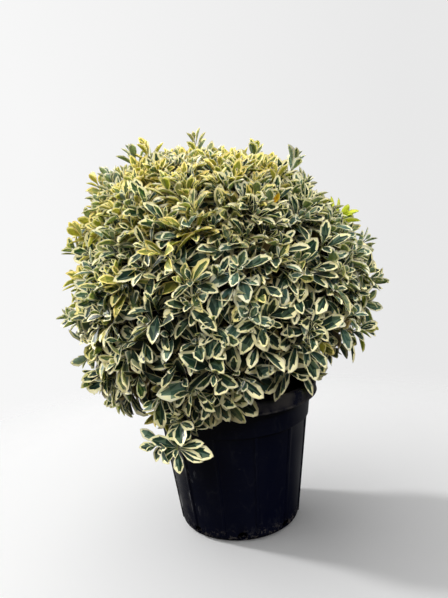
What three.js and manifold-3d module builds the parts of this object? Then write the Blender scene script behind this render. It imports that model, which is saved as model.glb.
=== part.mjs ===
// A variegated euonymus grown as a ball in a black nursery pot.
// Millimetres, +Z up. The origin is the centre of the pot's flat underside, and -Y is the front.
import * as THREE from "three";
import { mergeVertices } from "three/addons/utils/BufferGeometryUtils.js";
import Module from "manifold-3d";

const wasm = await Module();
wasm.setup();

// Gaps between pieces that touch on the plant
const seatGap = 0.3;
const massGap = 1.2;
const limbGap = 2.0;
const shortestEdge = 0.25;

// Nursery pot
const potHeight = 256;
const lipRadius = 151;
const lipHeight = 24;
const bandTopRadius = 139;
const bandFootRadius = 134;
const bandFootHeight = 191;
const wallTopRadius = 130;
const wallFootRadius = 107;
const footRounding = 12;
const potWall = 2.4;
const potFloor = 3;
const potSegments = 36;
const ridgeCount = 12;
const ridgeRise = 1.8;
const ridgeWidth = 6;
const ridgeRoot = 1.2;
const ridgeTurn = 14;
const drainCount = 8;
const drainRadius = 9;

// Potting soil
const soilTop = 226;
const soilFlatRadius = 40;
const soilBumps = 3;

// Crown: a ball round crownCentre, with broad swells and hollows
const crownCentre = new THREE.Vector3(-8, 0, 437);
const crownRadius = 269;
const crownTopRadius = 260;
const crownFullness = 2.6;
const lobes = [
  { azimuth: 195, elevation: -34, swell: 30, width: 34 },
  { azimuth: 170, elevation: 42, swell: 16, width: 26 },
  { azimuth: 0, elevation: 45, swell: -18, width: 30 },
  { azimuth: -10, elevation: -8, swell: 12, width: 30 },
  { azimuth: 90, elevation: 20, swell: 10, width: 35 },
  { azimuth: 60, elevation: -25, swell: 10, width: 30 },
  { azimuth: 130, elevation: 55, swell: -8, width: 25 },
];

// Masses of foliage: one round the leader and six round the sides
const sideNames = ["right_back", "back", "left_back", "left_front", "front", "right_front"];
const sideElevation = -8;
const sideTurn = 30;
const sideOffset = 26;
const coreInner = 112;
const coreOuter = 174;
const coreMargin = 3;
const coreFullness = 0.6;
const coreDetail = 3;
const coreStemShare = 0.6;
const lowestShoot = -50;

// Shoots and leaves, larger than life so that few of them still cover the ball
const shootCount = 98;
const shootRecess = 50;
const strayReach = 4;
const shootRise = 0.3;
const skirtRise = 0.7;
const shootRadius = 3.2;
const leafLength = 72;
const leafWidth = 37;
const leafThickness = 2.2;
const leafFold = 5;
const leafSink = 1.4;
const leafStep = 4;
const leafSpreads = [80, 74, 60, 52, 32];
const leafFolds = [
  { fold: 1, shrink: 1 },
  { fold: 0.85, shrink: 1 },
  { fold: 1, shrink: 0.8 },
  { fold: 0.8, shrink: 0.8 },
  { fold: 0.9, shrink: 0.6 },
  { fold: 0.6, shrink: 1 },
];
const leafTwists = [0, 0.4, -0.4, 0.8, -0.8];

// Stem and boughs
const stemFootRadius = 15;
const stemFlare = 9;
const stemFlareHeight = 16;
const stemTipRadius = 6.5;
const stemLean = 9;
const stemTipHeight = 540;
const limbSides = 9;
const boughFoot = 290;
const boughStep = 24;
const boughFootRadius = 8;
const boughTipRadius = 5;
const boughTipReach = 104;
const boughSag = 10;

// Low spray that hangs over the lip
const sprayAzimuth = 240;
const sprayCentre = { reach: 178, height: 193 };
const sprayRadius = 69;
const sprayBoughFoot = 247;
const sprayBoughRadius = 5.5;
const sprayTipRadius = 3.9;
const sprayElbow = 10;
const sprayLeafScale = 0.66;
const sprayShoots = [
  { side: 0, forward: 14, rise: -8, lift: 0.2 },
  { side: -34, forward: 0, rise: 4, lift: 0.2 },
  { side: 30, forward: 0, rise: 12, lift: 0.2 },
  { side: 4, forward: 14, rise: 40, lift: 0.8 },
];

const rad = THREE.MathUtils.degToRad;
const up = new THREE.Vector3(0, 0, 1);

function seededRandom(seed) {
  let state = seed >>> 0;
  return () => {
    state = (state + 0x6d2b79f5) >>> 0;
    let mixed = Math.imul(state ^ (state >>> 15), state | 1);
    mixed ^= mixed + Math.imul(mixed ^ (mixed >>> 7), mixed | 61);
    return ((mixed ^ (mixed >>> 14)) >>> 0) / 4294967296;
  };
}

function direction(azimuth, elevation) {
  const level = Math.cos(rad(elevation));
  return new THREE.Vector3(
    level * Math.cos(rad(azimuth)),
    level * Math.sin(rad(azimuth)),
    Math.sin(rad(elevation)),
  );
}

// A geometry with places alone, whose corners are shared by the faces that meet there
function bareGeometry(geometry) {
  return mergeVertices(geometry.clone().deleteAttribute("normal").deleteAttribute("uv"), 1e-4);
}

// A closed three.js geometry as a solid, without the slivers at lathe poles and seams
function solidOf(geometry) {
  const merged = bareGeometry(geometry);
  const corners = merged.index.array;
  const kept = [];
  for (let i = 0; i < corners.length; i += 3) {
    const [a, b, c] = corners.slice(i, i + 3);
    if (a !== b && b !== c && c !== a) kept.push(a, b, c);
  }
  const solid = new wasm.Manifold(
    new wasm.Mesh({
      numProp: 3,
      vertProperties: merged.attributes.position.array,
      triVerts: new Uint32Array(kept),
    }),
  );
  if (solid.volume() <= 0) throw new Error("a shape is not closed or is inside out");
  return solid;
}

// The outer body alone, without its shortest edges: sealed hollows are filled and loose scraps dropped
function wholeBody(solid) {
  return solid.simplify(shortestEdge).decompose().sort((a, b) => b.volume() - a.volume())[0];
}

function geometryOf(solid) {
  const mesh = solid.getMesh();
  const geometry = new THREE.BufferGeometry();
  geometry.setAttribute("position", new THREE.BufferAttribute(mesh.vertProperties, 3));
  geometry.setIndex(new THREE.BufferAttribute(mesh.triVerts, 1));
  geometry.computeVertexNormals();
  return geometry;
}

function eachVertex(geometry, change) {
  const places = geometry.attributes.position;
  const point = new THREE.Vector3();
  for (let i = 0; i < places.count; i += 1) {
    point.fromBufferAttribute(places, i);
    change(point);
    places.setXYZ(i, point.x, point.y, point.z);
  }
  return geometry;
}

// A turned shape about +Z, from [radius, height] points that run up the outside
function turned(profile) {
  const points = profile.map(([radius, height]) => new THREE.Vector2(radius, height));
  return new THREE.LatheGeometry(points, potSegments).rotateX(Math.PI / 2);
}

function arcPoints(centreX, centreY, radius, fromAngle, toAngle, steps) {
  const points = [];
  for (let i = 0; i <= steps; i += 1) {
    const angle = rad(fromAngle + ((toAngle - fromAngle) * i) / steps);
    points.push([centreX + radius * Math.cos(angle), centreY + radius * Math.sin(angle)]);
  }
  return points;
}

function makePot() {
  const lipFoot = potHeight - lipHeight;
  const lipRound = lipHeight / 2;
  const innerTop = bandTopRadius - potWall;
  const outside = [
    [0, 0],
    ...arcPoints(wallFootRadius - footRounding, footRounding, footRounding, -90, 0, 2),
    [wallTopRadius, bandFootHeight],
    [bandFootRadius, bandFootHeight + 2],
    [bandTopRadius, lipFoot],
    ...arcPoints(lipRadius - lipRound, lipFoot + lipRound, lipRound, -70, 90, 4),
  ];
  const inside = [
    [innerTop, potHeight],
    [innerTop, lipFoot - 2],
    [bandFootRadius - potWall, bandFootHeight + 6],
    [wallTopRadius - potWall, bandFootHeight],
    [wallFootRadius - potWall, footRounding],
    [wallFootRadius - potWall - footRounding / 2, potFloor],
    [0, potFloor],
  ];
  let pot = solidOf(turned([...outside, ...inside]));
  const ribHeight = bandFootHeight - footRounding;
  const ribLean = Math.atan2(wallTopRadius - wallFootRadius, ribHeight);
  const ribMiddle = (wallTopRadius + wallFootRadius) / 2 + (ridgeRise - ridgeRoot) / 2;
  for (let i = 0; i < ridgeCount; i += 1) {
    const rib = new THREE.BoxGeometry(ridgeRise + ridgeRoot, ridgeWidth, ribHeight / Math.cos(ribLean) - 1);
    rib.rotateY(ribLean).translate(ribMiddle, 0, footRounding + ribHeight / 2);
    pot = pot.add(solidOf(rib.rotateZ(rad(ridgeTurn + (i * 360) / ridgeCount))));
  }
  for (let i = 0; i < drainCount; i += 1) {
    const hole = new THREE.CylinderGeometry(drainRadius, drainRadius, 2 * footRounding, 8);
    hole.rotateZ(rad(-50)).rotateX(Math.PI / 2);
    hole.translate(wallFootRadius - footRounding / 2, 0, footRounding - 1);
    hole.rotateZ((i * 2 * Math.PI) / drainCount);
    pot = pot.subtract(solidOf(hole));
  }
  return wholeBody(pot);
}

function makeSoil() {
  const random = seededRandom(3);
  const gap = potWall + seatGap;
  const topShare = (soilTop - bandFootHeight) / (potHeight - lipHeight - bandFootHeight);
  const rimRadius = bandFootRadius + (bandTopRadius - bandFootRadius) * topShare - gap - 1;
  const fill = turned([
    [0, potFloor + seatGap],
    [wallFootRadius - gap - footRounding / 2, potFloor + seatGap],
    [wallFootRadius - gap, footRounding + seatGap],
    [wallTopRadius - gap, bandFootHeight],
    [bandFootRadius - gap - 1, bandFootHeight + 6],
    [rimRadius, soilTop - 4],
    [rimRadius * 0.7, soilTop],
    [soilFlatRadius, soilTop],
    [0, soilTop],
  ]);
  return solidOf(
    eachVertex(bareGeometry(fill), (point) => {
      const radius = Math.hypot(point.x, point.y);
      const loose = point.z > soilTop - 2 && radius > soilFlatRadius + 1;
      if (loose) point.z -= soilBumps * random();
    }),
  );
}

// A tapering limb along a curve: a cylinder whose rings are moved onto it
function limbGeometry(curve, radiusAt, sides, steps) {
  const frames = curve.computeFrenetFrames(steps, false);
  const tube = new THREE.CylinderGeometry(1, 1, 1, sides, steps);
  return eachVertex(tube, (point) => {
    const share = 0.5 - point.y;
    const ring = Math.round(share * steps);
    const radius = radiusAt(share);
    const across = frames.normals[ring].clone().multiplyScalar(point.x * radius);
    const over = frames.binormals[ring].clone().multiplyScalar(point.z * radius);
    point.copy(curve.getPointAt(share)).add(across).add(over);
  });
}

// Each limb keeps its curve and radius, so that leaves can be held clear of it
const limbs = [];

function makeLimb(points, footRadius, tipRadius, steps, flare = 0) {
  const curve = new THREE.CatmullRomCurve3(points);
  const length = curve.getLength();
  const radiusAt = (share) => {
    const taper = footRadius + (tipRadius - footRadius) * share;
    return taper + flare * Math.exp((-share * length) / stemFlareHeight);
  };
  const shape = (extra) =>
    solidOf(limbGeometry(curve, (share) => radiusAt(share) + extra, limbSides, steps));
  const limb = { curve, radiusAt, shape };
  limbs.push(limb);
  return limb;
}

function makeStem() {
  const foot = soilTop + seatGap;
  const rise = stemTipHeight - foot;
  const points = [0, 0.08, 0.35, 0.7, 1].map(
    (share) =>
      new THREE.Vector3(
        crownCentre.x * share + stemLean * Math.sin(share * Math.PI),
        stemLean * 0.5 * Math.sin(share * 2 * Math.PI),
        foot + rise * share,
      ),
  );
  points[1].setX(points[0].x).setY(points[0].y);
  return makeLimb(points, stemFootRadius, stemTipRadius, 10, stemFlare);
}

// A stem cut level where it meets the soil
function levelFoot(solid) {
  const slab = new THREE.BoxGeometry(200, 200, 40).translate(0, 0, soilTop + seatGap - 20);
  return solid.subtract(solidOf(slab));
}

function stemPointAt(stem, height) {
  let share = 0;
  while (share < 1 && stem.curve.getPointAt(share).z < height) share += 0.01;
  return stem.curve.getPointAt(Math.min(share, 1));
}

function makeBough(stem, toward, height) {
  const foot = stemPointAt(stem, height);
  const tip = crownCentre.clone().addScaledVector(toward, boughTipReach);
  const middle = foot.clone().lerp(tip, 0.5);
  middle.z -= boughSag;
  return makeLimb([foot, middle, tip], boughFootRadius, boughTipRadius, 5);
}

function makeSprayBough(stem) {
  const out = direction(sprayAzimuth, 0);
  const foot = stemPointAt(stem, sprayBoughFoot);
  const overLip = potHeight + sprayBoughRadius + limbGap + 1;
  const at = (reach, height) => out.clone().multiplyScalar(reach).setZ(height);
  const points = [foot, at(70, overLip - 3), at(lipRadius - 8, overLip + 2), at(lipRadius + 6, overLip)];
  return makeLimb(points, sprayBoughRadius, sprayTipRadius, 7);
}

// How far the crown reaches from its centre in a direction
function crownReach(toward) {
  const fullness = toward.z > 0 ? 2 : crownFullness;
  const level = (Math.hypot(toward.x, toward.y) / crownRadius) ** fullness;
  const height = (Math.abs(toward.z) / (toward.z > 0 ? crownTopRadius : crownRadius)) ** fullness;
  let reach = (level + height) ** (-1 / fullness);
  for (const lobe of lobes) {
    const angle = toward.angleTo(direction(lobe.azimuth, lobe.elevation));
    reach += lobe.swell * Math.exp(-((angle / rad(lobe.width)) ** 2));
  }
  return reach;
}

// Each mass has the part of the crown that lies nearest its own direction
const masses = [{ name: "top", toward: up.clone() }];
sideNames.forEach((name, i) => {
  masses.push({ name, toward: direction(sideTurn + (i * 360) / sideNames.length, sideElevation) });
});

// How far a point lies inside its mass's part, from the nearest side plane. The planes between
// side masses pass the stem on one side, so that no slit runs straight through the crown.
function depthInMass(point, mass) {
  const offset = point.clone().sub(crownCentre);
  let depth = Infinity;
  for (const other of masses) {
    if (other === mass) continue;
    const normal = mass.toward.clone().sub(other.toward).normalize();
    const turning = new THREE.Vector3().crossVectors(mass.toward, other.toward).z;
    depth = Math.min(depth, offset.dot(normal) - sideOffset * Math.sign(Math.round(turning * 10)));
  }
  return depth;
}

function massOf(point) {
  return masses.reduce((best, mass) =>
    depthInMass(point, mass) > depthInMass(point, best) ? mass : best,
  );
}

function limbDistance(point) {
  let nearest = Infinity;
  for (const { curve, radiusAt } of limbs) {
    for (let i = 0; i <= 24; i += 1) {
      const away = curve.getPointAt(i / 24).distanceTo(point) - radiusAt(i / 24);
      nearest = Math.min(nearest, away);
    }
  }
  return nearest;
}

function clearOfPot(point) {
  const radius = Math.hypot(point.x, point.y);
  return point.z > potHeight + limbGap || radius > lipRadius + limbGap;
}

const sprayMiddle = direction(sprayAzimuth, 0).multiplyScalar(sprayCentre.reach).setZ(sprayCentre.height);

function inCrown(point, mass) {
  const offset = point.clone().sub(crownCentre);
  const within = offset.length() < crownReach(offset.clone().normalize()) + strayReach;
  const apart = point.distanceTo(sprayMiddle) > sprayRadius + massGap;
  return within && apart && depthInMass(point, mass) > massGap;
}

function inSpray(point) {
  return point.distanceTo(sprayMiddle) < sprayRadius;
}

// A rounded pad that fills the middle of a mass, curved round the crown's centre
function makeCore(mass) {
  const side = new THREE.Vector3().crossVectors(mass.toward, direction(37, 20)).normalize();
  const over = new THREE.Vector3().crossVectors(mass.toward, side);
  const middle = (coreInner + coreOuter) / 2;
  const half = (coreOuter - coreInner) / 2;
  const turnedBy = (lean, angle) => {
    const across = side.clone().multiplyScalar(Math.cos(lean)).addScaledVector(over, Math.sin(lean));
    return mass.toward.clone().multiplyScalar(Math.cos(angle)).addScaledVector(across, Math.sin(angle));
  };
  const widest = (lean) => {
    let angle = 0;
    const fits = (toward) => {
      const outer = crownCentre.clone().addScaledVector(toward, middle);
      return depthInMass(outer, mass) > coreMargin && toward.z > Math.sin(rad(lowestShoot - 6));
    };
    while (angle < 1.4 && fits(turnedBy(lean, angle + 0.02))) angle += 0.02;
    return angle;
  };
  const placed = eachVertex(bareGeometry(new THREE.IcosahedronGeometry(1, coreDetail)), (point) => {
    const lean = Math.atan2(point.y, point.x);
    const toward = turnedBy(lean, Math.min(1, Math.hypot(point.x, point.y)) * widest(lean));
    const bulge = Math.sign(point.z) * Math.abs(point.z) ** coreFullness;
    const reach = ((middle + half * bulge) * crownReach(toward)) / crownRadius;
    point.copy(crownCentre).addScaledVector(toward, reach);
  });
  return solidOf(placed);
}

// A leaf along +X from its root, folded up along its midrib and pointed at the tip
function leafGeometry(length, width, matrix) {
  const leaf = new THREE.OctahedronGeometry(1);
  return eachVertex(leaf, (point) => {
    if (point.x > 0.5) point.set(length, 0, -leafFold * 0.6);
    else if (point.x < -0.5) point.set(-leafSink, 0, 0);
    else if (Math.abs(point.y) > 0.5) point.set(length * 0.56, (point.y * width) / 2, leafFold);
    else point.set(length * 0.5, 0, (point.z * leafThickness) / 2);
    point.applyMatrix4(matrix);
  });
}

function leafSamples(length, width, matrix) {
  const marks = [
    [0.2, 0], [0.45, 0], [0.75, 0], [1, 0],
    [0.35, 0.3], [0.56, 0.5], [0.8, 0.25], [0.35, -0.3], [0.56, -0.5], [0.8, -0.25],
  ];
  return marks.map(([along, across]) =>
    new THREE.Vector3(along * length, across * width, Math.abs(across) * 2 * leafFold).applyMatrix4(matrix),
  );
}

// A straight three-sided twig from one point to another
function twigGeometry(from, to, footRadius, tipRadius, sides = 3) {
  const along = to.clone().sub(from);
  const twig = new THREE.CylinderGeometry(tipRadius, footRadius, along.length(), sides);
  twig.translate(0, along.length() / 2, 0);
  const turn = new THREE.Quaternion().setFromUnitVectors(new THREE.Vector3(0, 1, 0), along.normalize());
  return twig.applyQuaternion(turn).translate(from.x, from.y, from.z);
}

const leafTries = leafFolds.flatMap((leaf) => leafTwists.map((twist) => ({ ...leaf, twist })));

function boxesMeet(one, other) {
  return [0, 1, 2].every((k) => one.min[k] <= other.max[k] && other.min[k] <= one.max[k]);
}

function clearOf(solid, others) {
  const box = solid.boundingBox();
  return others.every(
    (other) => !boxesMeet(box, other.boundingBox()) || solid.intersect(other).isEmpty(),
  );
}

// One leaf of a shoot, or nothing. It twists and folds up towards the shoot, or is a smaller leaf,
// until it fits its space, and is left out where it never does.
function placeLeaf(root, axis, spread, turn, length, width, fits, others) {
  const level = new THREE.Vector3().crossVectors(axis, direction(71, 13)).normalize();
  for (const { fold, shrink, twist } of leafTries) {
    const out = level.clone().applyAxisAngle(axis, turn + twist);
    const across = new THREE.Vector3().crossVectors(axis, out).normalize();
    const lean = rad(spread * fold);
    const along = axis.clone().multiplyScalar(Math.cos(lean)).addScaledVector(out, Math.sin(lean));
    const face = new THREE.Vector3().crossVectors(along, across);
    const matrix = new THREE.Matrix4().makeBasis(along, across, face).setPosition(root);
    if (!leafSamples(length * shrink, width * shrink, matrix).every(fits)) continue;
    const leaf = solidOf(leafGeometry(length * shrink, width * shrink, matrix));
    if (clearOf(leaf, others)) return leaf;
  }
  return null;
}

// Shoots with pairs of leaves at their tips, each pair square to the last. The widest leaves are
// placed first, and a shoot that carries no leaf is left out.
function leafyShoots(body, shoots, scale, random, fits) {
  const twigs = shoots.map(({ from, tip }) =>
    solidOf(twigGeometry(from, tip, shootRadius, shootRadius)),
  );
  const startTurns = shoots.map(() => random() * 2 * Math.PI);
  const leaves = [];
  const leafy = new Set();
  leafSpreads.forEach((spread, i) => {
    shoots.forEach(({ from, tip, axis }, s) => {
      const turn = startTurns[s] + Math.PI * (i % 2) + (Math.PI / 2) * Math.floor(i / 2);
      const length = leafLength * scale * (0.85 + 0.3 * random());
      const width = leafWidth * scale * (0.9 + 0.2 * random());
      const back = from.clone().sub(tip).normalize();
      const root = tip.clone().addScaledVector(back, leafStep * scale * (leafSpreads.length - i - 0.5));
      const others = [...body, ...leaves, ...twigs.filter((twig, t) => t !== s)];
      const leaf = placeLeaf(root, axis, spread, turn, length, width, fits, others);
      if (!leaf) return;
      leaves.push(leaf);
      leafy.add(twigs[s]);
    });
  });
  return wholeBody(wasm.Manifold.union([...body, ...leafy, ...leaves]));
}

// Shoot tips a leaf's reach inside the ball, evenly spread over it by the golden angle. Shoots rise
// a little from the straight way out, and those of the skirt stand out level.
function crownShoots(random) {
  const golden = Math.PI * (3 - Math.sqrt(5));
  const lowest = Math.sin(rad(lowestShoot));
  const shoots = [];
  for (let i = 0; i < shootCount; i += 1) {
    const height = 1 - ((i + 0.5) / shootCount) * (1 - lowest);
    const turn = i * golden + 0.25 * (random() - 0.5);
    const level = Math.sqrt(1 - height * height);
    const toward = new THREE.Vector3(level * Math.cos(turn), level * Math.sin(turn), height);
    const skirt = THREE.MathUtils.smoothstep(-height, 0.2, 0.7);
    const rise = shootRise + (skirtRise - shootRise) * skirt;
    shoots.push({
      tip: crownCentre.clone().addScaledVector(toward, crownReach(toward) - shootRecess),
      axis: toward.addScaledVector(up, rise).normalize(),
    });
  }
  return shoots;
}

// A mass: its stem, which carries on from the bough's tip, its core, and shoots that branch
// from the stem's end and stand out of the core
function makeMass(mass, bough, shoots, seed) {
  const tipPoint = bough.curve.getPointAt(1);
  const heading = bough.curve.getTangentAt(1);
  const stemFoot = tipPoint.clone().addScaledVector(heading, seatGap);
  const stemEnd = stemFoot.clone().addScaledVector(heading, (coreOuter - coreInner) * coreStemShare);
  const tipRadius = bough.radiusAt(1);
  const stemPiece = solidOf(twigGeometry(stemFoot, stemEnd, tipRadius, shootRadius, limbSides));
  const fits = (point) =>
    inCrown(point, mass) && clearOfPot(point) && limbDistance(point) > limbGap;
  const placed = shoots
    .filter(({ tip }) => fits(tip) && depthInMass(tip, mass) > massGap + shootRadius)
    .map((shoot) => ({ ...shoot, from: stemEnd }));
  return leafyShoots([makeCore(mass), stemPiece], placed, 1, seededRandom(seed), fits);
}

// The spray droops from its bough's tip outside the lip, with smaller leaves
function makeSpray(bough) {
  const out = direction(sprayAzimuth, 0);
  const across = new THREE.Vector3().crossVectors(up, out);
  const tipRadius = bough.radiusAt(1);
  const heading = bough.curve.getTangentAt(1);
  const foot = bough.curve.getPointAt(1).addScaledVector(heading, seatGap);
  const elbow = foot.clone().addScaledVector(heading, sprayElbow);
  const middle = sprayMiddle.clone().addScaledVector(out, 12);
  const knee = elbow.clone().lerp(middle, 0.45).addScaledVector(out, sprayElbow);
  const body = [
    solidOf(twigGeometry(foot, elbow, tipRadius, tipRadius, limbSides)),
    solidOf(twigGeometry(foot.clone().lerp(elbow, 0.6), knee, tipRadius, tipRadius, 5)),
  ];
  const fits = (point) => inSpray(point) && clearOfPot(point) && limbDistance(point) > limbGap;
  const shoots = sprayShoots.map(({ side, forward, rise, lift }) => ({
    from: knee,
    tip: middle.clone().addScaledVector(across, side).addScaledVector(out, forward).addScaledVector(up, rise),
    axis: out.clone().addScaledVector(up, lift).addScaledVector(across, side / 80).normalize(),
  }));
  return leafyShoots([wasm.Manifold.union(body)], shoots, sprayLeafScale, seededRandom(41), fits);
}

const finishes = {
  pot: { color: 0x14151a, roughness: 0.5, metalness: 0 },
  soil: { color: 0x2e241b, roughness: 1, metalness: 0 },
  bark: { color: 0x6b5a44, roughness: 0.9, metalness: 0 },
  leaves: { color: 0x7d8f63, roughness: 0.55, metalness: 0 },
};

const plant = new THREE.Group();
plant.name = "potted_euonymus_ball";

function addPiece(name, solid, finish) {
  const mesh = new THREE.Mesh(geometryOf(solid), new THREE.MeshStandardMaterial(finish));
  mesh.name = name;
  plant.add(mesh);
}

addPiece("pot", makePot(), finishes.pot);
addPiece("soil", makeSoil(), finishes.soil);

const stem = makeStem();
addPiece("stem", levelFoot(stem.shape(0)), finishes.bark);

// Side boughs leave the stem at two levels, so that neighbours stay clear of each other
masses.slice(1).forEach((mass, i) => {
  mass.bough = makeBough(stem, mass.toward, boughFoot + (i % 2) * boughStep);
});
const sprayBough = makeSprayBough(stem);
const stemShell = stem.shape(seatGap);
for (const mass of masses.slice(1)) {
  addPiece("bough_" + mass.name, wholeBody(mass.bough.shape(0).subtract(stemShell)), finishes.bark);
}
addPiece("bough_low", wholeBody(sprayBough.shape(0).subtract(stemShell)), finishes.bark);

masses[0].bough = stem;
const allShoots = crownShoots(seededRandom(11));
masses.forEach((mass, i) => {
  const shoots = allShoots.filter(({ tip }) => massOf(tip) === mass);
  addPiece("foliage_" + mass.name, makeMass(mass, mass.bough, shoots, 100 + i), finishes.leaves);
});
addPiece("foliage_low_spray", makeSpray(sprayBough), finishes.leaves);

export default plant;
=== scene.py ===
import math

import bpy
import numpy as np
from mathutils import Matrix, Vector, noise


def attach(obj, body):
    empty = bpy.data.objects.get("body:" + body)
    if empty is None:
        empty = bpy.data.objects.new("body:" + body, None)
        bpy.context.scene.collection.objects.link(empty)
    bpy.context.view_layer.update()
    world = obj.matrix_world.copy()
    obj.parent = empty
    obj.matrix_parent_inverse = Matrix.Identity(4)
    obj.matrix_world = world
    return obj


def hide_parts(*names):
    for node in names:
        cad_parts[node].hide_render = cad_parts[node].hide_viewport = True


# Variegated euonymus ball in a black nursery pot. Metres, +Z up, -Y is the front.
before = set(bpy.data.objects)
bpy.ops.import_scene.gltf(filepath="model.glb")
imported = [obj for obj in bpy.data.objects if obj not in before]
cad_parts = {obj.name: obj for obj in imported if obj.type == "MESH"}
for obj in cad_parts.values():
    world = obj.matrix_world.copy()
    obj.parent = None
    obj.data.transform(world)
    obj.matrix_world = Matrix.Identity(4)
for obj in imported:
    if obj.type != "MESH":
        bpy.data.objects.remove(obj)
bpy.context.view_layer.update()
up = np.array([0.0, 0.0, 1.0])
goldenAngle = math.pi * (3 - math.sqrt(5))
print("frame loaded:", len(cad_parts), "nodes")


def unit(vectors):
    return vectors / np.linalg.norm(vectors, axis=-1, keepdims=True)


def direction(azimuth, elevation):
    a = math.radians(azimuth)
    e = math.radians(elevation)
    return np.array([math.cos(e) * math.cos(a), math.cos(e) * math.sin(a), math.sin(e)])


def smoothstep(values, low, high):
    share = np.clip((values - low) / (high - low), 0, 1)
    return share * share * (3 - 2 * share)


# the number generator of the part's source, so that the shoots fall alike
def seededRandom(seed):
    state = seed

    def draw():
        nonlocal state
        whole = 0xFFFFFFFF
        state = (state + 0x6D2B79F5) & whole
        mixed = ((state ^ (state >> 15)) * (state | 1)) & whole
        mixed ^= (mixed + (((mixed ^ (mixed >> 7)) * (mixed | 61)) & whole)) & whole
        return ((mixed ^ (mixed >> 14)) & whole) / (whole + 1)

    return draw


def addObject(name, data):
    made = bpy.data.objects.new(name, data)
    bpy.context.scene.collection.objects.link(made)
    return made


# shader helpers, and effects that several materials share
def rampOf(tree, value, fromRange, toRange):
    node = tree.nodes.new("ShaderNodeMapRange")
    node.inputs["From Min"].default_value, node.inputs["From Max"].default_value = fromRange
    node.inputs["To Min"].default_value, node.inputs["To Max"].default_value = toRange
    tree.links.new(value, node.inputs["Value"])
    return node.outputs["Result"]


def newGroup(name, inputs, outputs):
    group = bpy.data.node_groups.new(name, "ShaderNodeTree")
    for label, kind, value in inputs:
        socket = group.interface.new_socket(label, in_out="INPUT", socket_type=kind)
        socket.default_value = value
    for label, kind in outputs:
        group.interface.new_socket(label, in_out="OUTPUT", socket_type=kind)
    return group, group.nodes.new("NodeGroupInput"), group.nodes.new("NodeGroupOutput")


def makeMottleGroup():
    group, given, result = newGroup(
        "mottle",
        [("Vector", "NodeSocketVector", (0, 0, 0)), ("Scale", "NodeSocketFloat", 40.0),
         ("Low", "NodeSocketFloat", 0.4), ("High", "NodeSocketFloat", 0.65)],
        [("Mask", "NodeSocketFloat"), ("Height", "NodeSocketFloat")],
    )
    cloud = group.nodes.new("ShaderNodeTexNoise")
    cloud.inputs["Detail"].default_value = 6
    cloud.inputs["Roughness"].default_value = 0.62
    spread = group.nodes.new("ShaderNodeMapRange")
    spread.interpolation_type = "SMOOTHSTEP"
    link = group.links.new
    link(given.outputs["Vector"], cloud.inputs["Vector"])
    link(given.outputs["Scale"], cloud.inputs["Scale"])
    link(cloud.outputs["Fac"], spread.inputs["Value"])
    link(given.outputs["Low"], spread.inputs["From Min"])
    link(given.outputs["High"], spread.inputs["From Max"])
    link(spread.outputs["Result"], result.inputs["Mask"])
    link(cloud.outputs["Fac"], result.inputs["Height"])
    return group


def makeScratchGroup():
    group, given, result = newGroup(
        "scratches",
        [("Vector", "NodeSocketVector", (0, 0, 0)), ("Scale", "NodeSocketFloat", 30.0),
         ("Width", "NodeSocketFloat", 0.03)],
        [("Mask", "NodeSocketFloat")],
    )
    streak = group.nodes.new("ShaderNodeTexNoise")
    streak.inputs["Detail"].default_value = 3
    offset = group.nodes.new("ShaderNodeMath")
    offset.operation = "SUBTRACT"
    offset.inputs[1].default_value = 0.5
    away = group.nodes.new("ShaderNodeMath")
    away.operation = "ABSOLUTE"
    line = group.nodes.new("ShaderNodeMapRange")
    line.inputs["From Min"].default_value = 0.0
    line.inputs["To Min"].default_value = 1.0
    line.inputs["To Max"].default_value = 0.0
    link = group.links.new
    link(given.outputs["Vector"], streak.inputs["Vector"])
    link(given.outputs["Scale"], streak.inputs["Scale"])
    link(streak.outputs["Fac"], offset.inputs[0])
    link(offset.outputs["Value"], away.inputs[0])
    link(away.outputs["Value"], line.inputs["Value"])
    link(given.outputs["Width"], line.inputs["From Max"])
    link(line.outputs["Result"], result.inputs["Mask"])
    return group


mottle = makeMottleGroup()
scratches = makeScratchGroup()


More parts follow.
